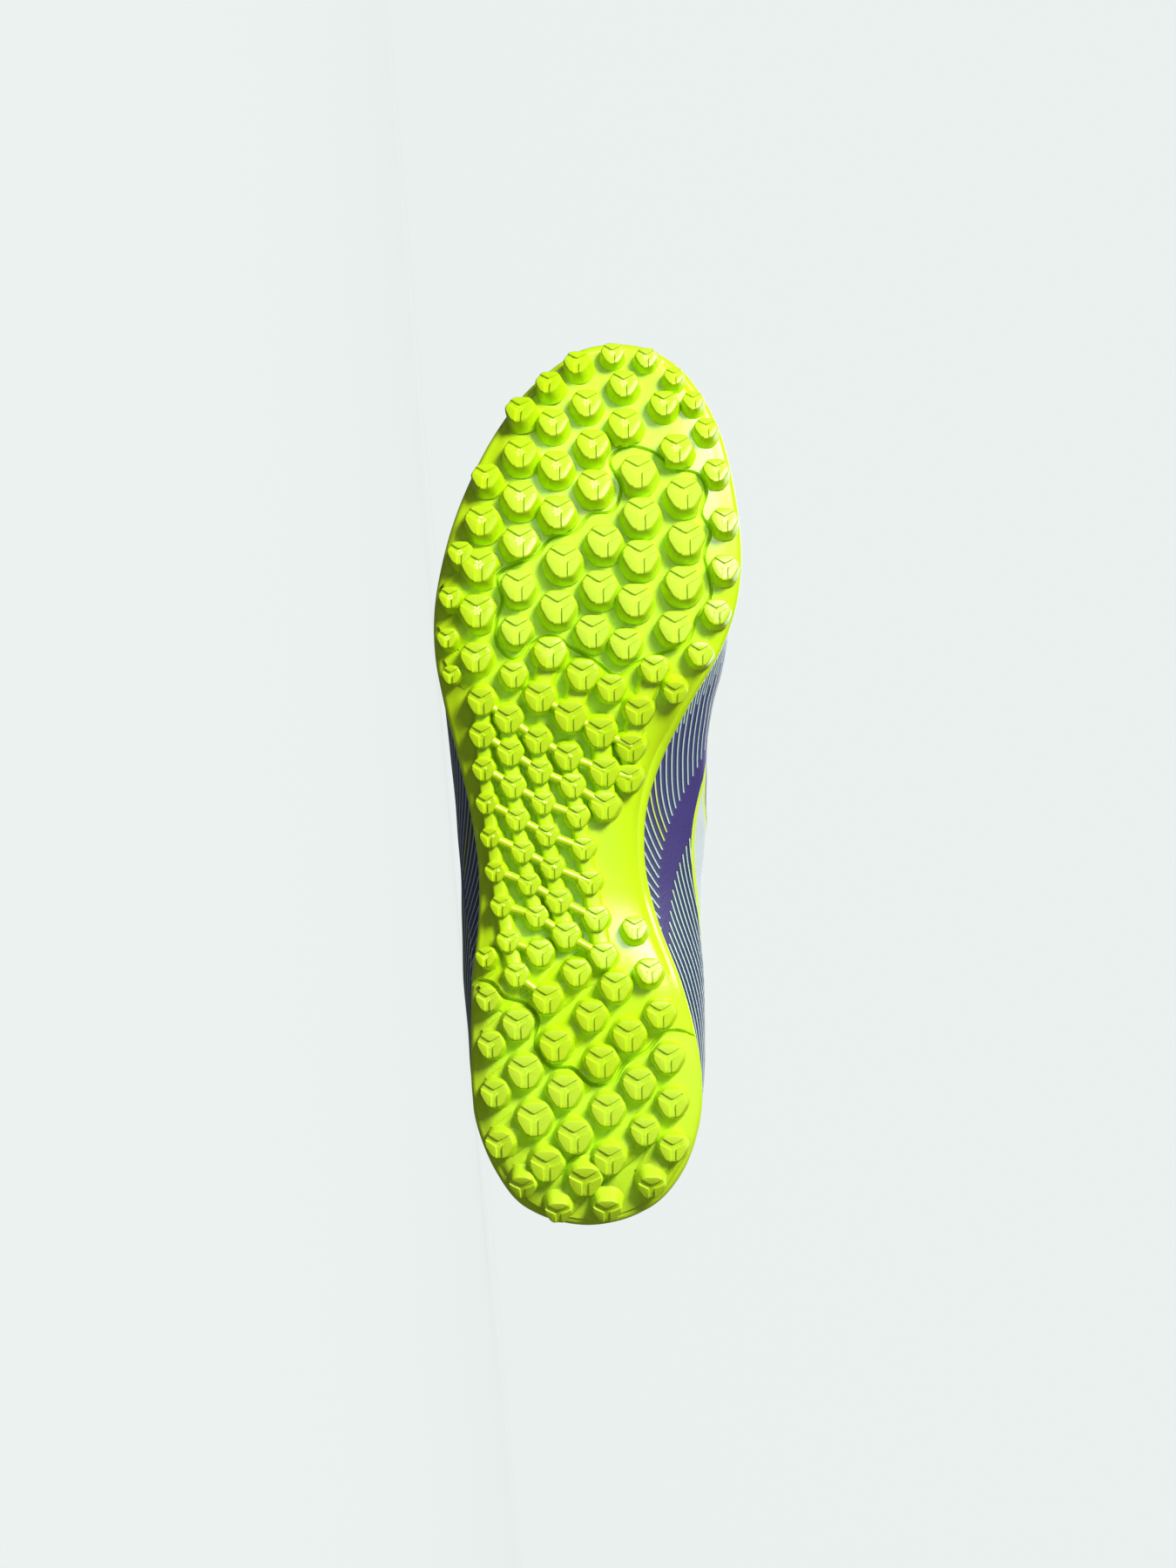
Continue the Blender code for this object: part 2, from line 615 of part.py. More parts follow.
def evaluated_points(obj):
    """The object's corners and triangles as they are after its modifiers."""
    done = obj.evaluated_get(bpy.context.evaluated_depsgraph_get())
    mesh = done.to_mesh()
    mesh.calc_loop_triangles()
    points = np.empty(len(mesh.vertices) * 3)
    mesh.vertices.foreach_get("co", points)
    faces = np.empty(len(mesh.loop_triangles) * 3, np.int32)
    mesh.loop_triangles.foreach_get("vertices", faces)
    done.to_mesh_clear()
    return points.reshape(-1, 3), faces.reshape(-1, 3)


def lay_down(pieces):
    """Rests the shoe on its lateral side: on the face of its hull that lies under its weight."""
    clouds, weight, moment = [], 0.0, np.zeros(3)
    for obj, density in pieces:
        points, faces = evaluated_points(obj)
        a, b, c = (points[faces[:, k]] for k in range(3))
        volume = np.einsum("ij,ij->i", a, np.cross(b, c)) / 6
        weight += density * volume.sum()
        moment += density * (volume[:, None] * (a + b + c) / 4).sum(axis=0)
        clouds.append(points)
    balance = Vector(moment / weight)
    points = np.vstack(clouds)
    hull = bmesh.new()
    for point in points:
        hull.verts.new(point)
    bmesh.ops.convex_hull(hull, input=hull.verts)
    down = Vector((0, -1, 0))
    for face in sorted(hull.faces, key=lambda f: -f.normal.dot(down)):
        if face.normal.dot(down) > 0.8 and geometry.intersect_point_tri(
            balance - face.normal * (balance - face.verts[0].co).dot(face.normal),
            *(v.co for v in face.verts),
        ):
            up = -face.normal.copy()
            break
    hull.free()
    left = -(Vector((1, 0, 0)) - up * up.x).normalized()
    turn = Matrix((left, up.cross(left), up))
    laid = points @ np.array(turn).T
    low, high = laid.min(axis=0), laid.max(axis=0)
    shift = -Vector(((low[0] + high[0]) / 2, (low[1] + high[1]) / 2, low[2]))
    holder = bpy.data.objects.new("shoe_on_its_side", None)
    collections[COLLECTION].objects.link(holder)
    holder.matrix_world = Matrix.Translation(shift) @ turn.to_4x4()
    for obj in [obj for group in collections.values() for obj in group.objects if obj is not holder]:
        obj.parent = holder
    return holder


for old in list(bpy.data.objects):
    bpy.data.objects.remove(old, do_unlink=True)
collections = {}
for title in (COLLECTION, "cutters"):
    collections[title] = bpy.data.collections.new(title)
    bpy.context.scene.collection.children.link(collections[title])

lime_rubber = material("lime_rubber", (0.45, 0.95, 0.01), 0.45)
indigo_textile = material("indigo_textile", (0.05, 0.03, 0.19), 0.7)
dark_mesh = material("dark_mesh", (0.02, 0.015, 0.07), 0.85)
grey_foam = material("grey_foam", (0.10, 0.10, 0.11), 0.9)
lime_cord = material("lime_cord", (0.50, 0.90, 0.03), 0.75)

# Each piece with its density in kilograms per cubic metre
outsole = (make_outsole(lime_rubber), 1050)
upper = (make_upper(indigo_textile), 700)
punch_eyelets(upper[0], indigo_textile)
tongue = (make_tongue(dark_mesh), 350)
insole = (make_insole(grey_foam), 180)
lacing = (make_lacing(lime_cord), 700)
lay_down([outsole, upper, tongue, insole, lacing])
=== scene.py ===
"""Turf shoe on its side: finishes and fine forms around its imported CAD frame.

Blender 4.5, metres, +Z up. The shoe's own frame, as in its source, has X from heel to toe,
Y towards the medial side and Z up from the ground that its lugs stand on.
"""

import math
from functools import lru_cache

import bmesh
import bpy
import numpy as np
from mathutils import Matrix, Vector


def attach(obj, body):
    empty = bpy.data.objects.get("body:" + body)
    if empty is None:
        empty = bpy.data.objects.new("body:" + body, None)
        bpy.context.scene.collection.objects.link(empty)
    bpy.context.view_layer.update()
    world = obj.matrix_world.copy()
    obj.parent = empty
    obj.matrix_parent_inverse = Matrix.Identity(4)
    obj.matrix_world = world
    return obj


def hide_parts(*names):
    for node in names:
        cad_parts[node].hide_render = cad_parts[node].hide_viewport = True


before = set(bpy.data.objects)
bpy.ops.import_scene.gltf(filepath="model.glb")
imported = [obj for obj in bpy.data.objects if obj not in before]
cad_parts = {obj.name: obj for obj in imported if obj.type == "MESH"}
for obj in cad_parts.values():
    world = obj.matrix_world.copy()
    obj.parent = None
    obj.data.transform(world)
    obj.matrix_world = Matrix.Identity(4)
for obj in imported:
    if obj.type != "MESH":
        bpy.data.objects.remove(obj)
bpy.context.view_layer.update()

# The shoe's frame in the row frame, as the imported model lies
PLACE = Matrix((
    (-0.99643, 0.08441, 0.00236, 0.13996),
    (0.0, -0.02798, 0.99961, -0.05066),
    (0.08445, 0.99604, 0.02788, 0.03248),
    (0.0, 0.0, 0.0, 1.0),
))
TO_SHOE = PLACE.inverted()

# Sole
LENGTH = 0.281
BALL_WIDTH = 0.0975
WAIST_WIDTH = 0.054
HEEL_WIDTH = 0.0735
BALL_THICKNESS = 0.0055
HEEL_THICKNESS = 0.0095
RIM_HEIGHT = 0.0038
RIM_WIDTH = 0.0022
EDGE_ROUND = 0.0022
SIDE_STEP = 0.0008
TOE_SPRING = 0.014
HEEL_RISE = 0.0045
ARCH_RISE = 0.0025
ARCH_FLARE = 0.0055
EDGE_ROLL = 0.0022
LUG_WIDTH = 0.0127
LUG_HEIGHT = 0.0056

# Upper, tongue, insole and laces
INSTEP_HEIGHT = 0.073
WALL = 0.0018
EYELET_RADIUS = 0.0019
EYELET_PAIRS = 6
EYELET_MARGIN = 0.008
TONGUE_THICKNESS = 0.0032
TONGUE_WIDTH = 0.050
TONGUE_TUCK = 0.60
TONGUE_RISE = 0.017
TONGUE_LEAN = math.radians(48)
INSOLE_THICKNESS = 0.004
LACE_WIDTH = 0.0058
LACE_THICKNESS = 0.0014
LACE_LIFT = 0.0009
GAP = 0.0003

# Plan of the sole: station along the length, width that the section follows, and the shares
# of that width on the lateral and on the medial side of the shoe's line.
OUTLINE = [
    (0.020, HEEL_WIDTH, 0.267, 0.275),
    (0.060, HEEL_WIDTH, 0.392, 0.412),
    (0.118, HEEL_WIDTH, 0.480, 0.488),
    (0.165, HEEL_WIDTH, 0.500, 0.497),
    (0.215, HEEL_WIDTH, 0.502, 0.470),
    (0.275, HEEL_WIDTH, 0.497, 0.408),
    (0.345, WAIST_WIDTH, 0.640, 0.418),
    (0.405, WAIST_WIDTH, 0.640, 0.346),
    (0.470, WAIST_WIDTH, 0.690, 0.352),
    (0.530, WAIST_WIDTH, 0.762, 0.450),
    (0.590, BALL_WIDTH, 0.466, 0.338),
    (0.645, BALL_WIDTH, 0.495, 0.430),
    (0.695, BALL_WIDTH, 0.497, 0.483),
    (0.745, BALL_WIDTH, 0.474, 0.503),
    (0.795, BALL_WIDTH, 0.435, 0.496),
    (0.845, BALL_WIDTH, 0.378, 0.474),
    (0.895, BALL_WIDTH, 0.303, 0.438),
    (0.942, BALL_WIDTH, 0.206, 0.373),
    (0.974, BALL_WIDTH, 0.106, 0.298),
    (0.993, BALL_WIDTH, 0.018, 0.208),
]
HEEL_POINT = 0.003
TOE_POINT = 0.098

# Webs between the studs: stations of the waist and of the heel's end, then sizes. A block's
# width is a share of its stud's.
WAIST_START, WAIST_END, HEEL_END = 0.27, 0.60, 0.30
BLOCK_SHARE = 0.0056 / 0.0085
BAR_WIDTH = 0.0029
RIDGE_WIDTH = 0.0118
# Places in LANES of the lanes that the waist's webs join, and of two that are treated apart
WAIST_LANES = (2, 4, 6, 7, 9, 10, 13, 15)
LATERAL_BALL_LANE, MEDIAL_HEEL_LANE = 0, 20

# Lanes of studs, each curved through three of its places: how many, then for each place its
# station, its offset as a share of BALL_WIDTH, and the size as a share of LUG_WIDTH.
LANES = [
    (4, (0.760, -0.414, 0.72), (0.686, -0.453, 0.63), (0.622, -0.442, 0.54)),
    (5, (0.847, -0.331, 0.83), (0.746, -0.351, 1.04), (0.642, -0.360, 0.91)),
    (9, (0.592, -0.343, 0.78), (0.439, -0.317, 0.54), (0.285, -0.229, 0.72)),
    (7, (0.924, -0.221, 0.87), (0.773, -0.218, 1.02), (0.622, -0.238, 0.78)),
    (7, (0.572, -0.255, 0.76), (0.460, -0.227, 0.63), (0.351, -0.164, 0.61)),
    (6, (0.310, -0.153, 0.78), (0.180, -0.088, 0.98), (0.052, -0.006, 0.98)),
    (4, (0.751, -0.076, 1.04), (0.673, -0.106, 1.00), (0.597, -0.153, 0.87)),
    (7, (0.548, -0.159, 0.72), (0.442, -0.130, 0.61), (0.330, -0.068, 0.76)),
    (5, (0.288, -0.034, 0.83), (0.187, 0.047, 0.97), (0.077, 0.073, 0.93)),
    (5, (0.773, 0.056, 1.02), (0.671, 0.018, 1.00), (0.575, -0.054, 0.87)),
    (7, (0.530, -0.062, 0.74), (0.427, -0.011, 0.63), (0.307, 0.054, 0.78)),
    (4, (0.272, 0.093, 0.91), (0.189, 0.153, 0.96), (0.109, 0.187, 0.84)),
    (6, (0.852, 0.166, 1.04), (0.731, 0.166, 1.03), (0.607, 0.079, 0.83)),
    (3, (0.557, 0.045, 0.83), (0.513, 0.057, 0.80), (0.475, 0.059, 0.78)),
    (7, (0.983, 0.193, 0.63), (0.827, 0.314, 1.02), (0.676, 0.286, 0.98)),
    (4, (0.629, 0.218, 0.83), (0.559, 0.153, 0.78), (0.505, 0.136, 0.74)),
    (3, (0.962, 0.283, 0.58), (0.934, 0.346, 0.61), (0.902, 0.388, 0.68)),
    (5, (0.305, -0.331, 0.59), (0.206, -0.314, 0.78), (0.094, -0.286, 0.83)),
    (2, (0.045, -0.210, 0.78), (0.030, -0.153, 0.78), (0.016, -0.093, 0.78)),
    (4, (0.229, -0.224, 0.91), (0.150, -0.187, 1.02), (0.070, -0.130, 0.98)),
    (6, (0.338, 0.155, 0.68), (0.216, 0.252, 0.86), (0.090, 0.279, 0.82)),
    (6, (0.854, 0.419, 0.74), (0.718, 0.437, 0.79), (0.602, 0.286, 0.68)),
    # Lanes of the toe that stop at the groove, as the insert behind it has its own spacing
    (4, (0.955, -0.128, 0.76), (0.884, -0.104, 0.92), (0.806, -0.096, 1.02)),
    (4, (0.978, -0.034, 0.76), (0.907, 0.010, 0.92), (0.837, 0.024, 1.00)),
    (3, (0.988, 0.083, 0.66), (0.953, 0.120, 0.85), (0.907, 0.123, 0.98)),
    # The last two of the heel
    (2, (0.045, 0.210, 0.80), (0.031, 0.138, 0.82), (0.018, 0.065, 0.83)),
]

# Sections of the upper, as in the CAD source
STATION, FLARE_LATERAL, FLARE_MEDIAL, WIDE_UP, TOP_UP, OPEN, RIDGE, SHIFT, TURN = range(9)
UPPER = [
    (0.000, -0.022, -0.022, 0.24, 0.72, 0.040, 0.003, 0.075, 0.55),
    (0.030, -0.016, -0.014, 0.24, 0.71, 0.165, 0.002, 0.052, 0.55),
    (0.080, -0.006, -0.004, 0.24, 0.67, 0.250, 0.000, 0.028, 0.55),
    (0.150, 0.006, 0.012, 0.24, 0.59, 0.290, 0.000, 0.010, 0.55),
    (0.210, 0.016, 0.040, 0.24, 0.56, 0.300, 0.000, 0.000, 0.52),
    (0.280, 0.040, 0.096, 0.26, 0.60, 0.290, 0.000, 0.000, 0.54),
    (0.340, 0.062, 0.158, 0.28, 0.72, 0.285, 0.001, 0.000, 0.60),
    (0.390, 0.066, 0.192, 0.29, 0.86, 0.258, 0.003, 0.000, 0.68),
    (0.435, 0.064, 0.206, 0.30, 0.94, 0.222, 0.006, 0.000, 0.75),
    (0.475, 0.052, 0.204, 0.30, 0.935, 0.192, 0.009, 0.000, 0.79),
    (0.530, 0.032, 0.165, 0.29, 0.86, 0.166, 0.014, 0.000, 0.83),
    (0.590, 0.006, 0.090, 0.27, 0.755, 0.140, 0.022, 0.000, 0.86),
    (0.645, -0.010, 0.034, 0.25, 0.665, 0.112, 0.030, 0.000, 0.90),
    (0.690, -0.016, -0.004, 0.23, 0.60, 0.082, 0.036, 0.000, 0.94),
    (0.725, -0.020, -0.016, 0.22, 0.555, 0.065, 0.041, 0.000, 1.00),
    (0.780, -0.022, -0.020, 0.20, 0.50, 0.000, 0.050, 0.000, 1.00),
    (0.840, -0.022, -0.020, 0.18, 0.44, 0.000, 0.062, 0.000, 1.00),
    (0.900, -0.022, -0.020, 0.16, 0.37, 0.000, 0.076, 0.000, 1.00),
    (0.950, -0.022, -0.020, 0.14, 0.29, 0.000, 0.088, 0.000, 1.00),
    (0.985, -0.022, -0.020, 0.12, 0.20, 0.000, 0.096, 0.000, 1.00),
    (1.000, -0.022, -0.020, 0.10, 0.13, 0.000, 0.098, 0.000, 1.00),
]
THROAT_TOP = 0.440
THROAT_FRONT = 0.705
THROAT_ROUND = 0.035
LATERAL, MEDIAL = -1, 1
# Rows of points above and below the widest line, in the sections that are seen
FINE_ROWS = (22, 8)

# The picture's own pixels, in which the two grooves and the stripes were read off
PICTURE_HEEL = 1403
PICTURE_MIDDLE = 674
PICTURE_ALONG = 3594
PICTURE_ACROSS = 3620

# Groove round the ball insert, and the one across the heel
BALL_GROOVE = [
    (700, 530), (718, 514), (750, 520), (775, 539), (800, 545), (811, 565), (805, 590), (816, 612),
    (808, 637), (812, 657), (816, 683), (800, 710), (788, 738), (760, 750), (733, 760), (710, 776),
    (685, 760), (658, 745), (635, 730), (612, 738), (592, 757), (572, 742), (570, 715), (577, 690),
    (571, 662), (590, 650), (615, 640), (632, 620), (660, 612), (678, 592), (703, 588), (713, 560),
]
HEEL_GROOVE = [
    (541, 1131), (550, 1123), (566, 1126), (580, 1141), (603, 1149), (617, 1164), (614, 1192),
    (632, 1220), (658, 1223), (678, 1240), (702, 1239), (718, 1216), (742, 1203), (762, 1182),
    (780, 1180), (798, 1188),
]


def ease(start, end, value):
    """0 before start and 1 after end, with a soft step between them."""
    share = min(1.0, max(0.0, (value - start) / (end - start)))
    return share * share * (3 - 2 * share)


def smooth_loop(points, steps):
    """A closed centripetal Catmull-Rom curve through the points."""
    points = [np.array(point) for point in points]
    count = len(points)
    line = []
    for i in range(count):
        a, b, c, d = (points[(i + k) % count] for k in (-1, 0, 1, 2))
        t1 = np.linalg.norm(b - a) ** 0.5
        t2 = t1 + np.linalg.norm(c - b) ** 0.5
        t3 = t2 + np.linalg.norm(d - c) ** 0.5
        for t in np.linspace(t1, t2, steps, endpoint=False):
            ab = a + (b - a) * t / t1
            bc = b + (c - b) * (t - t1) / (t2 - t1)
            cd = c + (d - c) * (t - t2) / (t3 - t2)
            abc = ab + (bc - ab) * t / t2
            bcd = bc + (cd - bc) * (t - t1) / (t3 - t1)
            line.append(abc + (bcd - abc) * (t - t1) / (t2 - t1))
    return np.array(line)


@lru_cache(maxsize=None)
def outline(inset):
    """The sole's plan moved inwards by inset, as one line from heel to toe for each side."""
    lateral = [(row[0] * LENGTH, -row[1] * row[2]) for row in OUTLINE]
    medial = [(row[0] * LENGTH, row[1] * row[3]) for row in OUTLINE]
    heel = (0.0, HEEL_POINT * BALL_WIDTH)
    toe = (LENGTH, TOE_POINT * BALL_WIDTH)
    steps = 12
    loop = smooth_loop([heel, *lateral, toe, *reversed(medial)], steps)
    along = np.roll(loop, -1, axis=0) - np.roll(loop, 1, axis=0)
    along /= np.linalg.norm(along, axis=1)[:, None]
    loop += inset * np.column_stack([-along[:, 1], along[:, 0]])
    turn = steps * (len(OUTLINE) + 1)
    return loop[: turn + 1], np.vstack([loop[turn:], loop[:1]])[::-1]


def edge(side, x, inset=0.0):
    """Where one side of the plan lies at x."""
    line = outline(inset)[0 if side == LATERAL else 1]
    return float(np.interp(x, line[:, 0], line[:, 1]))


def column(share, name):
    """A column of UPPER at any station, on a smooth curve through its rows."""
    last = len(UPPER) - 1
    i = min(last - 1, max(0, sum(row[STATION] <= share for row in UPPER) - 1))
    at = [UPPER[min(last, max(0, i + k))][STATION] for k in (-1, 0, 1, 2)]
    value = [UPPER[min(last, max(0, i + k))][name] for k in (-1, 0, 1, 2)]
    span = at[2] - at[1]
    leave = (value[2] - value[0]) / (at[2] - at[0]) * span
    arrive = (value[3] - value[1]) / (at[3] - at[1]) * span
    t = (share - at[1]) / span
    return (
        value[1] * (2 * t**3 - 3 * t**2 + 1)
        + leave * (t**3 - 2 * t**2 + t)
        + value[2] * (3 * t**2 - 2 * t**3)
        + arrive * (t**3 - t**2)
    )


def sole_bottom(x, y):
    """Height of the sole's underside between its lugs."""
    share = x / LENGTH
    toe = max(0.0, (share - 0.70) / 0.30)
    heel = max(0.0, (0.12 - share) / 0.12)
    waist = ease(0.26, 0.38, share) * (1 - ease(0.50, 0.64, share))
    # Short of both end points, where the two edges meet and the roll would jump
    clear = min(LENGTH * 0.985, max(LENGTH * 0.015, x))
    lateral, medial = edge(LATERAL, clear), edge(MEDIAL, clear)
    across = min(1.0, max(-1.0, (2 * y - lateral - medial) / (medial - lateral)))
    roll = EDGE_ROLL * (max(0.0, abs(across) - 0.6) / 0.4) ** 2
    arch = waist * (ARCH_RISE + ARCH_FLARE * max(0.0, across) ** 2)
    return LUG_HEIGHT + TOE_SPRING * toe**2 + HEEL_RISE * heel**2 + roll + arch


def footbed(x):
    """Height of the sole's inner floor."""
    line = 0.5 * (edge(LATERAL, x) + edge(MEDIAL, x))
    thickness = HEEL_THICKNESS + (BALL_THICKNESS - HEEL_THICKNESS) * ease(0.30, 0.62, x / LENGTH)
    return sole_bottom(x, line) + thickness


def lug_places():
    """Lane, tip centre and size of every stud."""
    for lane, (count, first, middle, last) in enumerate(LANES):
        for i in range(count):
            t = i / (count - 1)
            weights = ((1 - t) * (1 - 2 * t), 4 * t * (1 - t), t * (2 * t - 1))
            station, offset, size = (
                sum(w * p[k] for w, p in zip(weights, (first, middle, last))) for k in range(3)
            )
            yield lane, station * LENGTH, offset * BALL_WIDTH, size * LUG_WIDTH


def lug_axis(x, y):
    """The way a stud points: straight out of the underside."""
    reach = 0.002
    along = Vector((2 * reach, 0, sole_bottom(x + reach, y) - sole_bottom(x - reach, y)))
    across = Vector((0, 2 * reach, sole_bottom(x, y + reach) - sole_bottom(x, y - reach)))
    return -along.cross(across).normalized()


def linear(code):
    """An sRGB hex colour as linear red, green, blue and full alpha."""
    parts = [int(code[i : i + 2], 16) / 255 for i in (1, 3, 5)]
    return (*(p / 12.92 if p <= 0.04045 else ((p + 0.055) / 1.055) ** 2.4 for p in parts), 1.0)


def add(tree, kind, inputs=None, **settings):
    """A node with its settings. An input that is given a socket is linked to it."""
    made = tree.nodes.new(kind)
    for name, value in settings.items():
        setattr(made, name, value)
    for name, value in (inputs or {}).items():
        if isinstance(value, bpy.types.NodeSocket):
            tree.links.new(value, made.inputs[name])
        else:
            made.inputs[name].default_value = value
    return made


def maths(tree, operation, *values):
    """The result of one step of arithmetic on sockets and numbers."""
    return add(tree, "ShaderNodeMath", dict(enumerate(values)), operation=operation).outputs["Value"]


def mixed(tree, factor, a, b):
    """Colour b over colour a by a factor. A colour is a socket or an sRGB hex code."""
    a, b = (linear(colour) if isinstance(colour, str) else colour for colour in (a, b))
    made = add(tree, "ShaderNodeMix", {"Factor": factor, "A": a, "B": b}, data_type="RGBA")
    return made.outputs["Result"]


def ramp(tree, factor, *stops):
    """A colour ramp with two stops, each a position and an sRGB hex code."""
    made = add(tree, "ShaderNodeValToRGB", {"Fac": factor})
    for element, (position, code) in zip(made.color_ramp.elements, stops):
        element.position = position
        element.color = linear(code)
    return made.outputs["Color"]


def noise(tree, place, scale, detail):
    """A noise between 0 and 1."""
    made = add(tree, "ShaderNodeTexNoise", {"Vector": place, "Scale": scale, "Detail": detail})
    return made.outputs["Fac"]


def bump(tree, height, strength, distance, under=None):
    """The normal that a relief gives, laid over another normal where one is given."""
    inputs = {"Height": height, "Strength": strength, "Distance": distance}
    if under is not None:
        inputs["Normal"] = under
    return add(tree, "ShaderNodeBump", inputs).outputs["Normal"]


def new_finish(name, values):
    """A material with its surface, the values set on it, and its output."""
    made = bpy.data.materials.new(name)
    made.use_nodes = True
    tree = made.node_tree
    tree.nodes.clear()
    surface = add(tree, "ShaderNodeBsdfPrincipled", values)
    add(tree, "ShaderNodeOutputMaterial", {"Surface": surface.outputs["BSDF"]})
    return made, tree, surface


def linked(name, data):
    """A new object in the scene."""
    obj = bpy.data.objects.new(name, data)
    bpy.context.scene.collection.objects.link(obj)
    return obj


def drop(obj):
    """Takes a helper object out of the scene again."""
    bpy.data.objects.remove(obj, do_unlink=True)


def circle(count):
    """Cosine and sine of equal turns round a circle."""
    turns = [2 * math.pi * k / count for k in range(count)]
    return [(math.cos(turn), math.sin(turn)) for turn in turns]


def join_rings(bm, rings, looped=False, capped=False, flip=False):
    """Quads from each ring to the next, and on to the first one where looped, or capped at both ends."""
    for near, far in zip(rings, rings[1:] + rings[:1] * looped):
        for k in range(len(near)):
            j = (k + 1) % len(near)
            quad = (near[k], far[k], far[j], near[j]) if flip else (near[k], near[j], far[j], far[k])
            bm.faces.new(quad)
    if capped:
        bm.faces.new(rings[0])
        bm.faces.new(rings[-1])


def shade(mesh, sharp=None):
    """Smooth shading, with edges left sharp beyond so many degrees."""
    mesh.shade_smooth()
    if sharp:
        mesh.set_sharp_from_angle(angle=math.radians(sharp))


def to_mesh(bm, name):
    """A mesh of the bmesh, which is freed."""
    mesh = bpy.data.meshes.new(name)
    bm.to_mesh(mesh)
    bm.free()
    return mesh


def smooth_object(bm, name, sharp=None):
    """A smooth object from a bmesh that needs no turning."""
    mesh = to_mesh(bm, name)
    shade(mesh, sharp)
    return linked(name, mesh)


def cutting_object(bm, name):
    """An object that only cuts others, from a bmesh in the shoe's frame."""
    mesh = to_mesh(bm, name)
    mesh.transform(PLACE)
    return linked(name, mesh)


def shoe_object(bm, name, materials):
    """A smooth object in the row frame from a bmesh in the shoe's frame."""
    mesh = to_mesh(bm, name)
    mesh.transform(PLACE)
    shade(mesh)
    for entry in materials:
        mesh.materials.append(entry)
    return linked(name, mesh)


def baked(obj):
    """Applies the object's modifiers to its mesh."""
    graph = bpy.context.evaluated_depsgraph_get()
    mesh = bpy.data.meshes.new_from_object(obj.evaluated_get(graph))
    mesh.name = obj.name
    obj.modifiers.clear()
    old = obj.data
    obj.data = mesh
    bpy.data.meshes.remove(old)
    return obj


def in_shoe(pixel):
    """Station and offset, in metres, of a pixel of the picture."""
    return (PICTURE_HEEL - pixel[1]) / PICTURE_ALONG, (pixel[0] - PICTURE_MIDDLE) / PICTURE_ACROSS


def inside(x, y, loop):
    """Whether points of the plan, given as two arrays, lie in a closed loop."""
    found = np.zeros(len(x), bool)
    for (x1, y1), (x2, y2) in zip(loop, np.roll(loop, -1, axis=0)):
        if y1 != y2:
            found ^= ((y1 > y) != (y2 > y)) & (x < x1 + (x2 - x1) * (y - y1) / (y2 - y1))
    return found


# Camera, stage and light

AIM = (0.1402, 0.0003, 0.006)
CAMERA_DISTANCE = 1.45
SEEN_HEIGHT = 0.4965

aim = PLACE @ Vector(AIM)
out_of_sole = (PLACE.to_3x3() @ Vector((0, 0, -1))).normalized()
towards_toe = (PLACE.to_3x3() @ Vector((1, 0, 0))).normalized()
towards_medial = (PLACE.to_3x3() @ Vector((0, 1, 0))).normalized()

camera_data = bpy.data.cameras.new("camera")
camera_data.sensor_width = 36
camera_data.sensor_fit = "VERTICAL"
camera_data.sensor_height = 36
camera_data.lens = 36 * CAMERA_DISTANCE / SEEN_HEIGHT
camera_data.clip_start = 0.005
camera_data.clip_end = 20
camera = linked("camera", camera_data)
camera.matrix_world = Matrix.Translation(aim + out_of_sole * CAMERA_DISTANCE) @ Matrix(
    (towards_medial, towards_toe, out_of_sole)
).transposed().to_4x4()
bpy.context.scene.camera = camera
bpy.context.scene.view_settings.view_transform = "Standard"


def make_stage():
    """A round floor of pale paper that sweeps up into a wall, the same from every side."""
    # Matt studio paper, lit from behind. Far off it glows a little more, as the lamps reach it less
    values = {
        "Base Color": linear("#464847"),
        "Roughness": 1.0,
        "Specular IOR Level": 0.0,
        "Emission Strength": 1.0,
    }
    paper, tree, surface = new_finish("pale_paper", values)
    place = add(tree, "ShaderNodeTexCoord").outputs["Object"]
    away = add(tree, "ShaderNodeVectorMath", {0: place}, operation="LENGTH").outputs["Value"]
    far = add(tree, "ShaderNodeMapRange", {"Value": away, "From Min": 1.2, "From Max": 3.1})
    glow = mixed(tree, far.outputs["Result"], "#E0E6E4", "#E8EEEC")
    tree.links.new(glow, surface.inputs["Emission Color"])
    wall, bend, rise, around = 5.0, 2.0, 6.0, 96
    profile = [(reach, 0.0) for reach in (0.25, 0.6, 1.2, 2.1)]
    for i in range(13):
        angle = math.pi / 2 * i / 12
        profile.append((wall - bend + bend * math.sin(angle), bend - bend * math.cos(angle)))
    profile.append((wall, rise))
    bm = bmesh.new()
    rings = []
    for reach, height in profile:
        rings.append([bm.verts.new((reach * x, reach * y, height)) for x, y in circle(around)])
    bm.faces.new(rings[0])
    join_rings(bm, rings, flip=True)
    floor = smooth_object(bm, "sweep")
    floor.data.materials.append(paper)
    # The paper's glow doesn't reach the shoe, so that the studs keep their shadows
    floor.visible_diffuse = False
    floor.visible_glossy = False
    floor.visible_shadow = False


def soft_light(name, power, size, place, colour):
    """A square softbox that looks at the shoe. Its place is along the sole's normal, toe and medial."""
    lamp = bpy.data.lights.new(name, "AREA")
    lamp.energy = power
    lamp.size = size
    lamp.color = linear(colour)[:3]
    obj = linked(name, lamp)
    out, toe, medial = place
    spot = aim + out_of_sole * out + towards_toe * toe + towards_medial * medial
    obj.location = spot
    obj.rotation_euler = (spot - aim).to_track_quat("Z", "Y").to_euler()
    return obj


make_stage()
soft_light("key", 158, 1.0, (2.4, 2.1, 1.68), "#FFFFFA")
soft_light("fill", 0.9, 1.2, (1.3, -0.5, 0.35), "#F4FAFF")
# Lights the side that the picture doesn't show, and leaves the sole alone
soft_light("back_fill", 16, 1.4, (-1.5, 0.1, 0.9), "#F4FAFF")
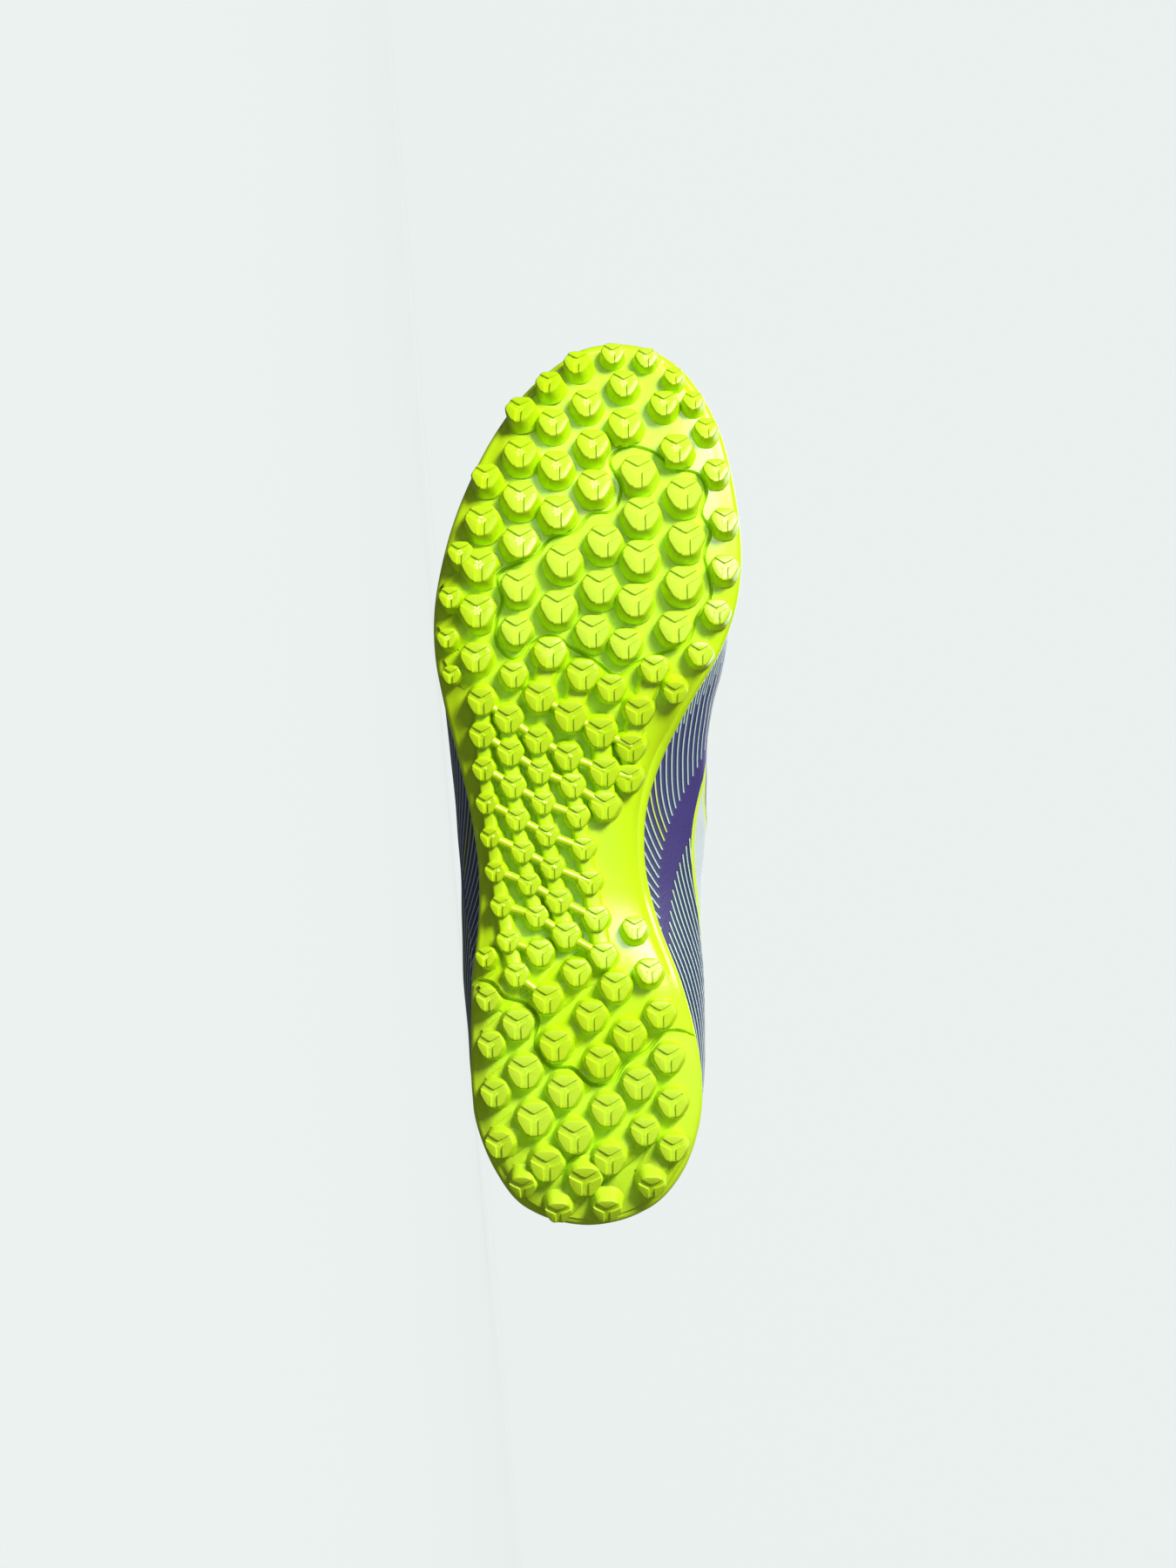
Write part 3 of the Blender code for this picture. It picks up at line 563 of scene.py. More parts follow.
# Adds only gloss: the pale sheen on the smooth rubber where the toe springs up
sheen = soft_light("toe_sheen", 28, 0.5, (1.76, 0.84, 0.50), "#FFFFFA")
sheen.visible_diffuse = False
world = bpy.data.worlds.new("studio")
world.use_nodes = True
background = world.node_tree.nodes["Background"]
background.inputs["Color"].default_value = linear("#E9EFEE")
background.inputs["Strength"].default_value = 0.15
bpy.context.scene.world = world


def make_rubber():
    """Moulded rubber with a satin skin, matt and finely grained where the mould was blasted."""
    made, tree, surface = new_finish("lime_moulded_rubber", {"IOR": 1.5, "Specular IOR Level": 0.48})
    place = add(tree, "ShaderNodeTexCoord").outputs["Object"]
    blasted = add(tree, "ShaderNodeAttribute", attribute_name="blasted").outputs["Fac"]
    tone = ramp(tree, noise(tree, place, 45.0, 3.0), (0.30, "#CBF20A"), (0.72, "#D2F612"))
    tree.links.new(tone, surface.inputs["Base Color"])
    # Grain of 0.35 mm in the blasted parts, and a faint 1.2 mm mottle all over
    strong = maths(tree, "MULTIPLY_ADD", blasted, 0.75, 0.12)
    grain = bump(tree, noise(tree, place, 2600.0, 2.0), strong, 0.00012)
    mottle = bump(tree, noise(tree, place, 700.0, 2.0), 0.25, 0.00015, grain)
    tree.links.new(mottle, surface.inputs["Normal"])
    tree.links.new(maths(tree, "MULTIPLY_ADD", blasted, 0.30, 0.32), surface.inputs["Roughness"])
    return made


lime_rubber = make_rubber()


def rim_ring(inset, height):
    """One closed ring of the sole's plan. Its height is read for each point of the plan's edge."""
    both = np.vstack([outline(inset)[0], outline(inset)[1][-2:0:-1]])
    border = np.vstack([outline(0.0)[0], outline(0.0)[1][-2:0:-1]])
    return [(x, y, height(bx, by)) for (x, y), (bx, by) in zip(both, border)]


def sole_rings():
    """The side of the sole from its underside round the rim and down to the footbed."""

    def foot(x, y):
        return sole_bottom(x, y) + EDGE_ROUND

    def rim(x, _y):
        return footbed(x) + RIM_HEIGHT

    for i in range(6):
        angle = math.pi / 2 * i / 5
        inset = EDGE_ROUND * (1 - math.sin(angle))
        rise = EDGE_ROUND * (1 - math.cos(angle))
        yield inset, lambda x, y, rise=rise: sole_bottom(x, y) + rise
    for inset, share, more in (
        (0.0, 0.30, 0.0),
        (0.0, 0.55, -0.0002),
        (0.15 * SIDE_STEP, 0.55, 0.0002),
        (0.85 * SIDE_STEP, 0.55, 0.0007),
        (SIDE_STEP, 0.55, 0.0011),
        (SIDE_STEP, 0.85, 0.0),
        (SIDE_STEP, 1.0, -0.0005),
        (SIDE_STEP + 0.00015, 1.0, -0.00015),
        (SIDE_STEP + 0.0005, 1.0, 0.0),
        (RIM_WIDTH - 0.0002, 1.0, 0.0),
        (RIM_WIDTH, 1.0, -0.0003),
    ):
        yield inset, lambda x, y, share=share, more=more: (
            foot(x, y) + share * (rim(x, y) - foot(x, y)) + more
        )
    yield RIM_WIDTH, lambda x, y: footbed(x)


def fill_plan(bm, ring, columns, height):
    """Closes a ring of the plan with a grid whose rows run from the lateral to the medial side."""
    half = len(ring) // 2
    rows = []
    for i in range(half + 1):
        left, right = ring[i], ring[-i % len(ring)]
        if left is right:
            rows.append([left])
            continue
        row = [left]
        for j in range(1, columns):
            spot = left.co.lerp(right.co, j / columns)
            row.append(bm.verts.new((spot.x, spot.y, height(spot.x, spot.y))))
        rows.append([*row, right])
    for near, far in zip(rows, rows[1:]):
        for j in range(columns):
            if len(near) == 1:
                bm.faces.new((near[0], far[j], far[j + 1]))
            elif len(far) == 1:
                bm.faces.new((near[j], near[j + 1], far[0]))
            else:
                bm.faces.new((near[j], near[j + 1], far[j + 1], far[j]))


def groove_line(pixels, closed, steps=6):
    """A smooth line through the pixels, on the underside."""
    points = [in_shoe(pixel) for pixel in pixels]
    line = smooth_loop(points, steps)
    if not closed:
        line = line[: steps * (len(points) - 1) + 1]
    return line


def cut_by(obj, cutter):
    """Has the object cut by another one, once its modifiers are applied."""
    cut = obj.modifiers.new("cut", "BOOLEAN")
    cut.object = cutter
    cut.operation = "DIFFERENCE"
    cut.solver = "EXACT"


def groove_cutter(pixels, closed, radius, depth):
    """A tube along a groove, its middle on the underside, so that it cuts half its own depth."""
    line = groove_line(pixels, closed)
    bm = bmesh.new()
    rings = []
    for i, (x, y) in enumerate(line):
        before = line[i - 1 if closed else max(0, i - 1)]
        after = line[(i + 1) % len(line) if closed else min(len(line) - 1, i + 1)]
        across = Vector((-(after - before)[1], (after - before)[0], 0)).normalized()
        middle = Vector((x, y, sole_bottom(x, y) + 0.0001))
        ring = []
        for aside, down in circle(8):
            deep = Vector((0, 0, depth * down))
            ring.append(bm.verts.new(middle + across * radius * aside + deep))
        rings.append(ring)
    join_rings(bm, rings, looped=closed, capped=not closed)
    bmesh.ops.recalc_face_normals(bm, faces=bm.faces)
    return cutting_object(bm, "groove")


def blasted_at(x, y):
    """1 in the ball insert and behind the heel groove, where the rubber is matt."""
    behind = x < np.interp(y, heel_line[:, 1], heel_line[:, 0])
    return (inside(x, y, ball_loop) | behind).astype(float)


def make_sole():
    """The sole without its studs, with both grooves cut into its underside."""
    bm = bmesh.new()
    rings = [[bm.verts.new(spot) for spot in rim_ring(inset, height)] for inset, height in sole_rings()]
    join_rings(bm, rings)
    fill_plan(bm, rings[0], 40, sole_bottom)
    fill_plan(bm, rings[-1], 10, lambda x, y: footbed(x))
    bmesh.ops.recalc_face_normals(bm, faces=bm.faces)
    body = shoe_object(bm, "sole_body", [lime_rubber])
    cutters = [
        groove_cutter(BALL_GROOVE, True, 0.00062, 0.0014),
        groove_cutter(HEEL_GROOVE, False, 0.00074, 0.0016),
    ]
    for cutter in cutters:
        cut_by(body, cutter)
    baked(body)
    for cutter in cutters:
        drop(cutter)
    spots = np.array([TO_SHOE @ face.center for face in body.data.polygons])
    mark = body.data.attributes.new("blasted", "FLOAT", "FACE")
    mark.data.foreach_set("value", blasted_at(spots[:, 0], spots[:, 1]))
    shade(body.data, 38)
    return body


def stud_radius(angle, near, far, power):
    """Distance from a stud's axis to its side: long flats at the three lobes, short at the arms."""
    total = 0.0
    for k in range(6):
        reach = near if k % 2 else far
        total += max(0.0, math.cos(angle - math.radians(30 + 60 * k)) / reach) ** power
    return total ** (-1 / power)


def stud_master():
    """A stud as wide and as tall as 1, its foot at 0: a six-sided cone with a Y channel in its tip.

    Local X is the medial way, Y the toe way and Z out of the sole. The channel's arms point up
    left, up right and down, and stop at the sides.
    """
    # Half the channel's width, the slope beside it, and the height of its floor
    arm, bevel, floor = 0.075, 0.026, 0.885
    tip, base = 0.420, 0.508
    # Radius, crispness of the corners, how far the lobes' flats draw in, height of lobes and of channel
    rings = [
        (0.092, None, 1.0, floor, floor),
        (0.132, None, 1.0, 0.990, floor),
        (0.210, None, 1.0, 1.000, floor),
        (tip - 0.110, 9, 0.95, 0.990, floor),
        (tip - 0.030, 9, 0.94, 0.965, floor),
        (tip - 0.004, 9, 0.94, 0.920, floor - 0.02),
        (tip + 0.014, 9, 0.94, 0.830, 0.815),
        (base - 0.026, 7, 0.96, 0.180, 0.18),
        (base - 0.006, 6, 0.97, 0.070, 0.07),
        (base + 0.014, 6, 0.98, 0.000, 0.00),
        (base + 0.028, 6, 0.98, -0.12, -0.12),
    ]
    bm = bmesh.new()
    lobe = 7
    verts = []
    for radius, power, flat, lobe_height, arm_height in rings:
        ring = []
        near, far = flat * radius, (1.0 + 0.35 * (1.0 - flat)) * radius
        for third in range(3):
            axis = math.radians(30 + 120 * third)
            around = radius if power is None else stud_radius(axis, near, far, power)
            cut = math.asin(min(0.98, arm / around))
            lip = math.asin(min(0.99, (arm + bevel) / around))
            if radius < 0.1:
                cut = lip = math.asin(min(0.995, arm / around))
            angles = [(-lip, 0), (-cut, 1), (0.0, 1), (cut, 1), (lip, 0)]
            span = 2 * math.pi / 3 - 2 * lip
            angles += [(lip + span * i / (lobe + 1), 0) for i in range(1, lobe + 1)]
            for angle, in_arm in angles:
                angle += axis
                reach = radius if power is None else stud_radius(angle, near, far, power)
                height = arm_height if in_arm else lobe_height
                ring.append(bm.verts.new((reach * math.cos(angle), reach * math.sin(angle), height)))
        verts.append(ring)
    centre = bm.verts.new((0, 0, floor))
    count = len(verts[0])
    for i in range(count):
        bm.faces.new((centre, verts[0][i], verts[0][(i + 1) % count]))
    join_rings(bm, verts, flip=True)
    return smooth_object(bm, "stud_master", 42)


def scatter_tree():
    """Geometry Nodes: the master at every point, turned and sized by the point, as one mesh."""
    tree = bpy.data.node_groups.new("set_out_on_points", "GeometryNodeTree")
    tree.interface.new_socket("Points", in_out="INPUT", socket_type="NodeSocketGeometry")
    tree.interface.new_socket("Master", in_out="INPUT", socket_type="NodeSocketObject")
    tree.interface.new_socket("Finish", in_out="INPUT", socket_type="NodeSocketMaterial")
    tree.interface.new_socket("Mesh", in_out="OUTPUT", socket_type="NodeSocketGeometry")
    given = add(tree, "NodeGroupInput")
    master = add(tree, "GeometryNodeObjectInfo", {"Object": given.outputs["Master"]})
    turn = add(tree, "GeometryNodeInputNamedAttribute", {"Name": "turn"}, data_type="FLOAT_VECTOR")
    size = add(tree, "GeometryNodeInputNamedAttribute", {"Name": "size"}, data_type="FLOAT_VECTOR")
    turned = add(tree, "FunctionNodeEulerToRotation", {0: turn.outputs["Attribute"]})
    placed = add(
        tree,
        "GeometryNodeInstanceOnPoints",
        {
            "Points": given.outputs["Points"],
            "Instance": master.outputs["Geometry"],
            "Rotation": turned.outputs[0],
            "Scale": size.outputs["Attribute"],
        },
    )
    real = add(tree, "GeometryNodeRealizeInstances", {"Geometry": placed.outputs["Instances"]})
    painted = add(
        tree,
        "GeometryNodeSetMaterial",
        {"Geometry": real.outputs["Geometry"], "Material": given.outputs["Finish"]},
    )
    add(tree, "NodeGroupOutput", {"Mesh": painted.outputs["Geometry"]})
    return tree


def scatter(name, master, places, finish):
    """A mesh of the master at each place: (point, 3x3 turn, size, blasted), all in the shoe's frame.

    The master itself is dropped.
    """
    mesh = bpy.data.meshes.new(name)
    mesh.from_pydata([PLACE @ point for point, _, _, _ in places], [], [])
    turns = [angle for _, turn, _, _ in places for angle in (PLACE.to_3x3() @ turn).to_euler()]
    sizes = [side for _, _, size, _ in places for side in size]
    mesh.attributes.new("turn", "FLOAT_VECTOR", "POINT").data.foreach_set("vector", turns)
    mesh.attributes.new("size", "FLOAT_VECTOR", "POINT").data.foreach_set("vector", sizes)
    marks = [mark for _, _, _, mark in places]
    mesh.attributes.new("blasted", "FLOAT", "POINT").data.foreach_set("value", marks)
    obj = linked(name, mesh)
    nodes = obj.modifiers.new("set_out", "NODES")
    nodes.node_group = set_out
    for item in set_out.interface.items_tree:
        if item.in_out == "INPUT" and item.name == "Master":
            nodes[item.identifier] = master
        if item.in_out == "INPUT" and item.name == "Finish":
            nodes[item.identifier] = finish
    baked(obj)
    drop(master)
    return obj


def stud_turn(axis):
    """Turn from a stud's own frame to the shoe's, with its Y way towards the toe."""
    medial = axis.cross(Vector((1, 0, 0))).normalized()
    if medial.y < 0:
        medial.negate()
    toe = axis.cross(medial)
    return Matrix((medial, toe, axis)).transposed()


def stud_frames():
    """(lane, foot on the underside, turn, width, height) of every stud."""
    found = []
    for lane, x, y, width in lug_places():
        height = LUG_HEIGHT * min(1.0, 0.62 + 0.42 * width / LUG_WIDTH)
        width *= 1 + 0.10 * ease(0.28, 0.36, x / LENGTH) * (1 - ease(0.56, 0.62, x / LENGTH))
        axis = lug_axis(x, y)
        # Studs of the ball lean towards the toe, and those at the very back lean backwards
        axis.x += 0.16 * ease(0.56, 0.72, x / LENGTH) * (1 - ease(0.88, 0.99, x / LENGTH))
        axis.x -= 0.40 * (1 - ease(0.02, 0.09, x / LENGTH))
        # Those along the medial edge stand straighter than the rubber that rolls up under them
        axis.y = min(axis.y, 0.05)
        axis.normalize()
        foot_x, foot_y = x - axis.x * height, y - axis.y * height
        foot = Vector((foot_x, foot_y, sole_bottom(foot_x, foot_y)))
        found.append((lane, foot, stud_turn(axis), width, height))
    return found


def web_master(name, profile):
    """A web 1 long along Y with the given section, sagging a little in the middle of its length."""
    bm = bmesh.new()
    rings = []
    for i in range(7):
        along = i / 6 - 0.5
        sag = 0.86 + 0.56 * along * along
        rings.append([bm.verts.new((x, along, z * sag if z > 0 else z)) for x, z in profile])
    join_rings(bm, rings, capped=True)
    bmesh.ops.recalc_face_normals(bm, faces=bm.faces)
    return smooth_object(bm, name, 60)


def web_between(near, far, width, height, lift=0.0):
    """Place of a web from one stud to another: (point, turn, size, blasted)."""
    a, b = near[1], far[1]
    middle = (a + b) / 2
    middle.z = sole_bottom(middle.x, middle.y)
    along = (b - a).normalized()
    out = lug_axis(middle.x, middle.y)
    side = along.cross(out).normalized()
    out = side.cross(along)
    turn = Matrix((side, along, out)).transposed()
    matt = float(blasted_at(np.array([middle.x]), np.array([middle.y]))[0])
    return middle + out * lift, turn, (width, (b - a).length, height), matt


def neighbour(frames, one, low, high, reach):
    """The nearest stud whose way from this one lies between two picture angles, within reach."""
    found = []
    for other in frames:
        step = other[1] - one[1]
        angle = math.degrees(math.atan2(step.x, step.y))
        if 0.002 < step.length < reach and low < angle < high:
            found.append((step.length, other))
    return min(found, key=lambda pair: pair[0])[1] if found else None


def web_places(frames):
    """Blocky webs along the waist's lanes, round bars between those lanes, and low ridges in the heel."""
    blocks, bars, ridges = [], [], []
    for one in frames:
        lane, foot, _, width, tall = one
        share = foot.x / LENGTH
        if WAIST_START < share < WAIST_END + 0.015 and lane in WAIST_LANES:
            ahead = neighbour(frames, one, 62, 112, 0.0150)
            if ahead and ahead[0] == lane and share < WAIST_END:
                blocks.append(web_between(one, ahead, BLOCK_SHARE * width, 0.66 * tall))
            beside = neighbour(frames, one, -52, -12, 0.0165)
            if beside and beside[1].x / LENGTH < WAIST_END and beside[0] != MEDIAL_HEEL_LANE:
                bars.append(web_between(one, beside, BAR_WIDTH, BAR_WIDTH, 0.62 * tall))
        if share < HEEL_END or (lane == LATERAL_BALL_LANE and share < 0.75):
            beyond = neighbour(frames, one, 28, 66, 0.0175)
            if beyond:
                ridges.append(web_between(one, beyond, RIDGE_WIDTH, 0.50 * tall))
    return blocks, bars, ridges


def tuck_skirts(obj):
    """Draws the feet of the studs on the rim in under the sole's edge, so that no skirt hangs free."""
    margin = 0.0009
    for vert in obj.data.vertices:
        spot = TO_SHOE @ vert.co
        x = min(LENGTH - 0.002, max(0.002, spot.x))
        y = min(edge(MEDIAL, x) - margin, max(edge(LATERAL, x) + margin, spot.y))
        if (x, y) == (spot.x, spot.y) or sole_bottom(x, y) - spot.z > 0.0012:
            continue
        spot = Vector((x, y, max(spot.z, sole_bottom(x, y) + 0.0003)))
        vert.co = PLACE @ spot


def clear_grooves(obj, places):
    """Draws the feet of the studs back from the two grooves, so that these run open between them."""
    margin = 0.001
    verts = obj.data.vertices
    spots = np.array([TO_SHOE @ vert.co for vert in verts])
    each = len(spots) // len(places)
    lines = np.vstack([groove_line(BALL_GROOVE, True, 24), groove_line(HEEL_GROOVE, False, 24)])
    shares = np.linspace(0.45, 1.0, 23)
    for i, (foot, _, size, _) in enumerate(places):
        centre = np.array(foot[:2])
        near = lines[np.hypot(lines[:, 0] - centre[0], lines[:, 1] - centre[1]) < size[0]]
        if not len(near):
            continue
        low = [k for k in range(i * each, (i + 1) * each) if foot.z - spots[k, 2] < 0.45 * size[2]]
        way = spots[low, :2] - centre
        path = centre + way[:, None] * shares[None, :, None]
        gaps = np.linalg.norm(path[:, :, None] - near[None, None], axis=3).min(axis=2)
        free = np.logical_and.accumulate(gaps > margin, axis=1).sum(axis=1)
        reach = shares[np.maximum(free - 1, 0)]
        for k, step, share in zip(low, way, reach):
            if share < 1:
                verts[k].co = PLACE @ Vector((*(centre + step * share), spots[k, 2]))


set_out = scatter_tree()
ball_loop = groove_line(BALL_GROOVE, True)
heel_line = groove_line(HEEL_GROOVE, False)

sole_body = make_sole()
frames = stud_frames()
groups = {"studs_ball": [], "studs_toe": [], "studs_waist": [], "studs_heel": []}
for lane, foot, turn, width, height in frames:
    share = foot.x / LENGTH
    key = "studs_heel" if share < 0.32 else "studs_waist" if share < WAIST_END else "studs_ball"
    if share > 0.80:
        key = "studs_toe"
    matt = float(blasted_at(np.array([foot.x]), np.array([foot.y]))[0])
    groups[key].append((foot, turn, (width, width, height), matt))
sole_pieces = [sole_body]
for name, places in groups.items():
    studs = scatter(name, stud_master(), places, lime_rubber)
    tuck_skirts(studs)
    clear_grooves(studs, places)
    sole_pieces.append(studs)
blocks, bars, ridges = web_places(frames)
BLOCK_SECTION = [
    (-0.5, -0.15), (-0.48, 0.2), (-0.42, 0.7), (-0.36, 0.92), (-0.24, 1.0), (0.24, 1.0),
    (0.36, 0.92), (0.42, 0.7), (0.48, 0.2), (0.5, -0.15),
]
RIDGE_SECTION = [
    (-0.5, -0.25), (-0.5, -0.04), (-0.40, 0.04), (-0.31, 0.26), (-0.22, 0.66), (-0.12, 0.94), (0.0, 1.0),
    (0.12, 0.94), (0.22, 0.66), (0.31, 0.26), (0.40, 0.04), (0.5, -0.04), (0.5, -0.25),
]
BAR_SECTION = [(0.5 * x, 0.5 * z) for x, z in circle(12)]
for name, section, places in (
    ("waist_webs", BLOCK_SECTION, blocks),
    ("waist_bars", BAR_SECTION, bars),
    ("heel_ridges", RIDGE_SECTION, ridges),
):
    webs = scatter(name, web_master(name + "_master", section), places, lime_rubber)
    tuck_skirts(webs)
    if name == "heel_ridges":
        # The heel's groove is cut through the ridges as well
        slot_cutter = groove_cutter(HEEL_GROOVE, False, 0.00084, 0.0060)
        cut_by(webs, slot_cutter)
        webs.modifiers["cut"].use_self = True
        baked(webs)
        drop(slot_cutter)
    sole_pieces.append(webs)
for piece in sole_pieces:
    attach(piece, "root")
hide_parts("outsole")


def edge_slope(side, x, inset):
    """How far the outward direction leans along the shoe for each unit across it."""
    reach = 0.0008
    near, far = max(inset, x - reach), min(LENGTH - inset, x + reach)
    slope = (edge(side, far, inset) - edge(side, near, inset)) / (far - near)
    return -side * slope


def upper_rib(share, side, rows=8, low_rows=3):
    """One side of one section of the upper's outer face, from the footbed to the top edge."""
    inset = RIM_WIDTH + 2 * GAP
    ends = 0.0012
    x = inset + ends + share * (LENGTH - 2 * inset - 2 * ends)
    y = edge(side, x, inset)
    out = Vector((edge_slope(side, x, inset), side)).normalized()
    low = footbed(x) + GAP
    rim = footbed(x) + RIM_HEIGHT + 3 * GAP
    flare = column(share, FLARE_LATERAL if side == LATERAL else FLARE_MEDIAL)
    wide_z = footbed(x) + column(share, WIDE_UP) * INSTEP_HEIGHT
    wide = Vector((x, y)) + out * (inset + flare * BALL_WIDTH)
    ahead = min(1.0, max(0.0, (THROAT_FRONT - share) / THROAT_ROUND))
    opening = column(share, OPEN) * math.sqrt(ahead * (2 - ahead))
    top = Vector((x + column(share, SHIFT) * BALL_WIDTH, column(share, RIDGE) * BALL_WIDTH))
    top.y += side * opening * BALL_WIDTH
    top_z = footbed(x) + column(share, TOP_UP) * INSTEP_HEIGHT
    turn = min(1.0, column(share, TURN)) * math.pi / 2
    rib = [Vector((x, y, low)), Vector((x, y, rim))]
    for i in range(1, low_rows + 1):
        t = i / low_rows
        plan = Vector((x, y)).lerp(wide, math.sin(t * math.pi / 2))
        rib.append(Vector((*plan, rim + (wide_z - rim) * t)))
    for i in range(1, rows):
        angle = turn * i / (rows - 1)
        plan = wide.lerp(top, (1 - math.cos(angle)) / (1 - math.cos(turn)))
        rib.append(Vector((*plan, wide_z + (top_z - wide_z) * math.sin(angle) / math.sin(turn))))
    return rib


@lru_cache(maxsize=None)
def section_line(share):
    """The last's top at a station, from the lateral widest line over the throat to the medial one."""
    lateral, medial = upper_rib(share, LATERAL)[4:], upper_rib(share, MEDIAL)[4:]
    line = list(lateral)
    if share < THROAT_FRONT:
        near, far = lateral[-1], medial[-1]
        rise = (lateral[-1].z - lateral[-2].z) / abs(lateral[-1].y - lateral[-2].y)
        crown = rise * abs(far.y - near.y) / 4
        for t in np.linspace(0, 1, 9)[1:-1]:
            line.append(near.lerp(far, t) + Vector((0, 0, crown * (1 - (2 * t - 1) ** 2))))
        line.append(far)
    line += medial[-2::-1]
    steps = [(b - a).length for a, b in zip(line, line[1:])]
    along = np.cumsum([0, *steps])
    open_edge = steps[len(lateral) - 1 : len(line) - len(medial)]
    middle = along[len(lateral) - 1] + sum(open_edge) / 2
    return line, along - middle, sum(open_edge) / 2


def on_last(share, across):
    """The point of the last's top at a station, across metres from its ridge along the skin."""
    line, along, _ = section_line(round(share, 6))
    return Vector([np.interp(across, along, [p[k] for p in line]) for k in range(3)])


def above_last(share, across, height):
    """The same point, lifted off the skin, with the way that the skin faces there."""
    reach = 0.012
    forward = on_last(share + reach, across) - on_last(share - reach, across)
    sideways = on_last(share, across + 0.002) - on_last(share, across - 0.002)
    normal = forward.cross(sideways).normalized()
    return on_last(share, across) + normal * height, normal


def make_skin(name, group):
    """Fused knit with printed pinstripes, laid out on the upper's own map.

    The map's U is the station and its V the height, in metres. The group has the sets of stripes
    in millimetres, and differs a little between the two sides.
    """
    values = {"Roughness": 0.52, "Sheen Weight": 0.12, "Sheen Roughness": 0.4}
    made, tree, surface = new_finish(name, values)
    chart = add(tree, "ShaderNodeUVMap", uv_map="skin").outputs["UV"]
    spot = add(tree, "ShaderNodeSeparateXYZ", {"Vector": chart})
    u = maths(tree, "MULTIPLY", spot.outputs["X"], 1000.0)
    v = maths(tree, "MULTIPLY", spot.outputs["Y"], 1000.0)

    masks = []
    # Each set of stripes: slope, pitch, phase, then how a stripe's end lies on its level, and its sense
    for slope, pitch, phase, offset, run, sense, width in group:
        level = maths(tree, "MULTIPLY_ADD", u, slope, v)
        turns = maths(tree, "MULTIPLY_ADD", level, 1 / pitch, phase)
        whole = maths(tree, "FLOOR", turns)
        part = maths(tree, "FRACT", turns)
        line = maths(tree, "COMPARE", part, 0.5, width / pitch / 2)
        # A painted shadow: a band just beside each stripe, where the raised stripe would cast one
        shadow = maths(tree, "COMPARE", part, 0.22, 0.16)
        first = ((0.5 - phase) * pitch + offset) / run
        end = maths(tree, "MULTIPLY_ADD", whole, pitch / run, first)
        on = maths(tree, "GREATER_THAN" if sense > 0 else "LESS_THAN", u, end)
        masks.append((maths(tree, "MULTIPLY", line, on), shadow, on, level))

    place = add(tree, "ShaderNodeTexCoord").outputs["Object"]
    colour = mixed(tree, noise(tree, place, 60.0, 4.0), "#3B3075", "#463B82")
    # Slate mesh under the front stripes and navy under the rear ones, each darker in a painted shadow band
    # beside every stripe
    for index, code, dark in ((0, "#46457C", "#2A3359"), (2, "#2F3A63", "#232C4C")):
        _, shadow, on, _ = masks[index]
        colour = mixed(tree, on, colour, mixed(tree, shadow, code, dark))
    # Mint stripes, with a few lime ones next to the sole in front and high up behind
    for index, limit, spread in ((0, 65.5, 2.3), (1, 65.5, 2.3), (2, 44.0, 14.0)):
        stripe, _, _, level = masks[index]
        warm = maths(tree, "COMPARE", level, limit, spread)
        colour = mixed(tree, stripe, colour, mixed(tree, warm, "#C4DEDA", "#DDF06A"))
    # Plain pale saddle panel: inside its three straight edges, with lime piping along them
    edges = []
    for across, up, start in ((-0.0300, 1.0, -17.60), (-0.2783, -1.0, 64.49), (1.0, 0.62, -92.0)):
        level = maths(tree, "MULTIPLY_ADD", u, across, start)
        edges.append(maths(tree, "MULTIPLY_ADD", v, up, level))
    least = maths(tree, "MINIMUM", maths(tree, "MINIMUM", edges[0], edges[1]), edges[2])
    for limit, code in ((-0.5, "#D6F04A"), (0.9, "#D3DEE3")):
        within = maths(tree, "GREATER_THAN", least, limit)
        colour = mixed(tree, within, colour, code)
    tree.links.new(colour, surface.inputs["Base Color"])
    # Knit cells of 0.7 mm under a thin film, and stripes that stand a little proud
    knit = add(tree, "ShaderNodeTexVoronoi", {"Vector": place, "Scale": 1400.0}, feature="F1")
    cells = bump(tree, knit.outputs["Distance"], 0.30, 0.0002)
    raised = maths(tree, "MAXIMUM", masks[0][0], masks[2][0])
    tree.links.new(bump(tree, raised, 0.35, 0.0002, cells), surface.inputs["Normal"])
    return made


def make_cloth(name, dark, light, cell, rough, depth):
    """Knit or foam-backed cloth: two close tones in cells of the given size in millimetres, the darker one
    towards the sunken cell borders as partly painted shade.
    """
    values = {"Roughness": rough, "Sheen Weight": 0.25, "Sheen Roughness": 0.5}
    made, tree, surface = new_finish(name, values)
    place = add(tree, "ShaderNodeTexCoord").outputs["Object"]
    knit = add(tree, "ShaderNodeTexVoronoi", {"Vector": place, "Scale": 1000.0 / cell}, feature="F1")
    # Light in the cells' middles and darker towards their borders, which the relief below sinks: partly the
    # knit's own tone, partly painted shade in the hollows
    tone = ramp(tree, knit.outputs["Distance"], (0.15, light), (0.65, dark))
    tree.links.new(tone, surface.inputs["Base Color"])
    relief = add(
        tree,
        "ShaderNodeBump",
        {"Height": knit.outputs["Distance"], "Strength": 0.6, "Distance": depth, "Filter Width": 0.1},
        invert=True,
    )
    tree.links.new(relief.outputs["Normal"], surface.inputs["Normal"])
    return made


FRONT_SLOPE, FRONT_PITCH = 0.45, 2.24
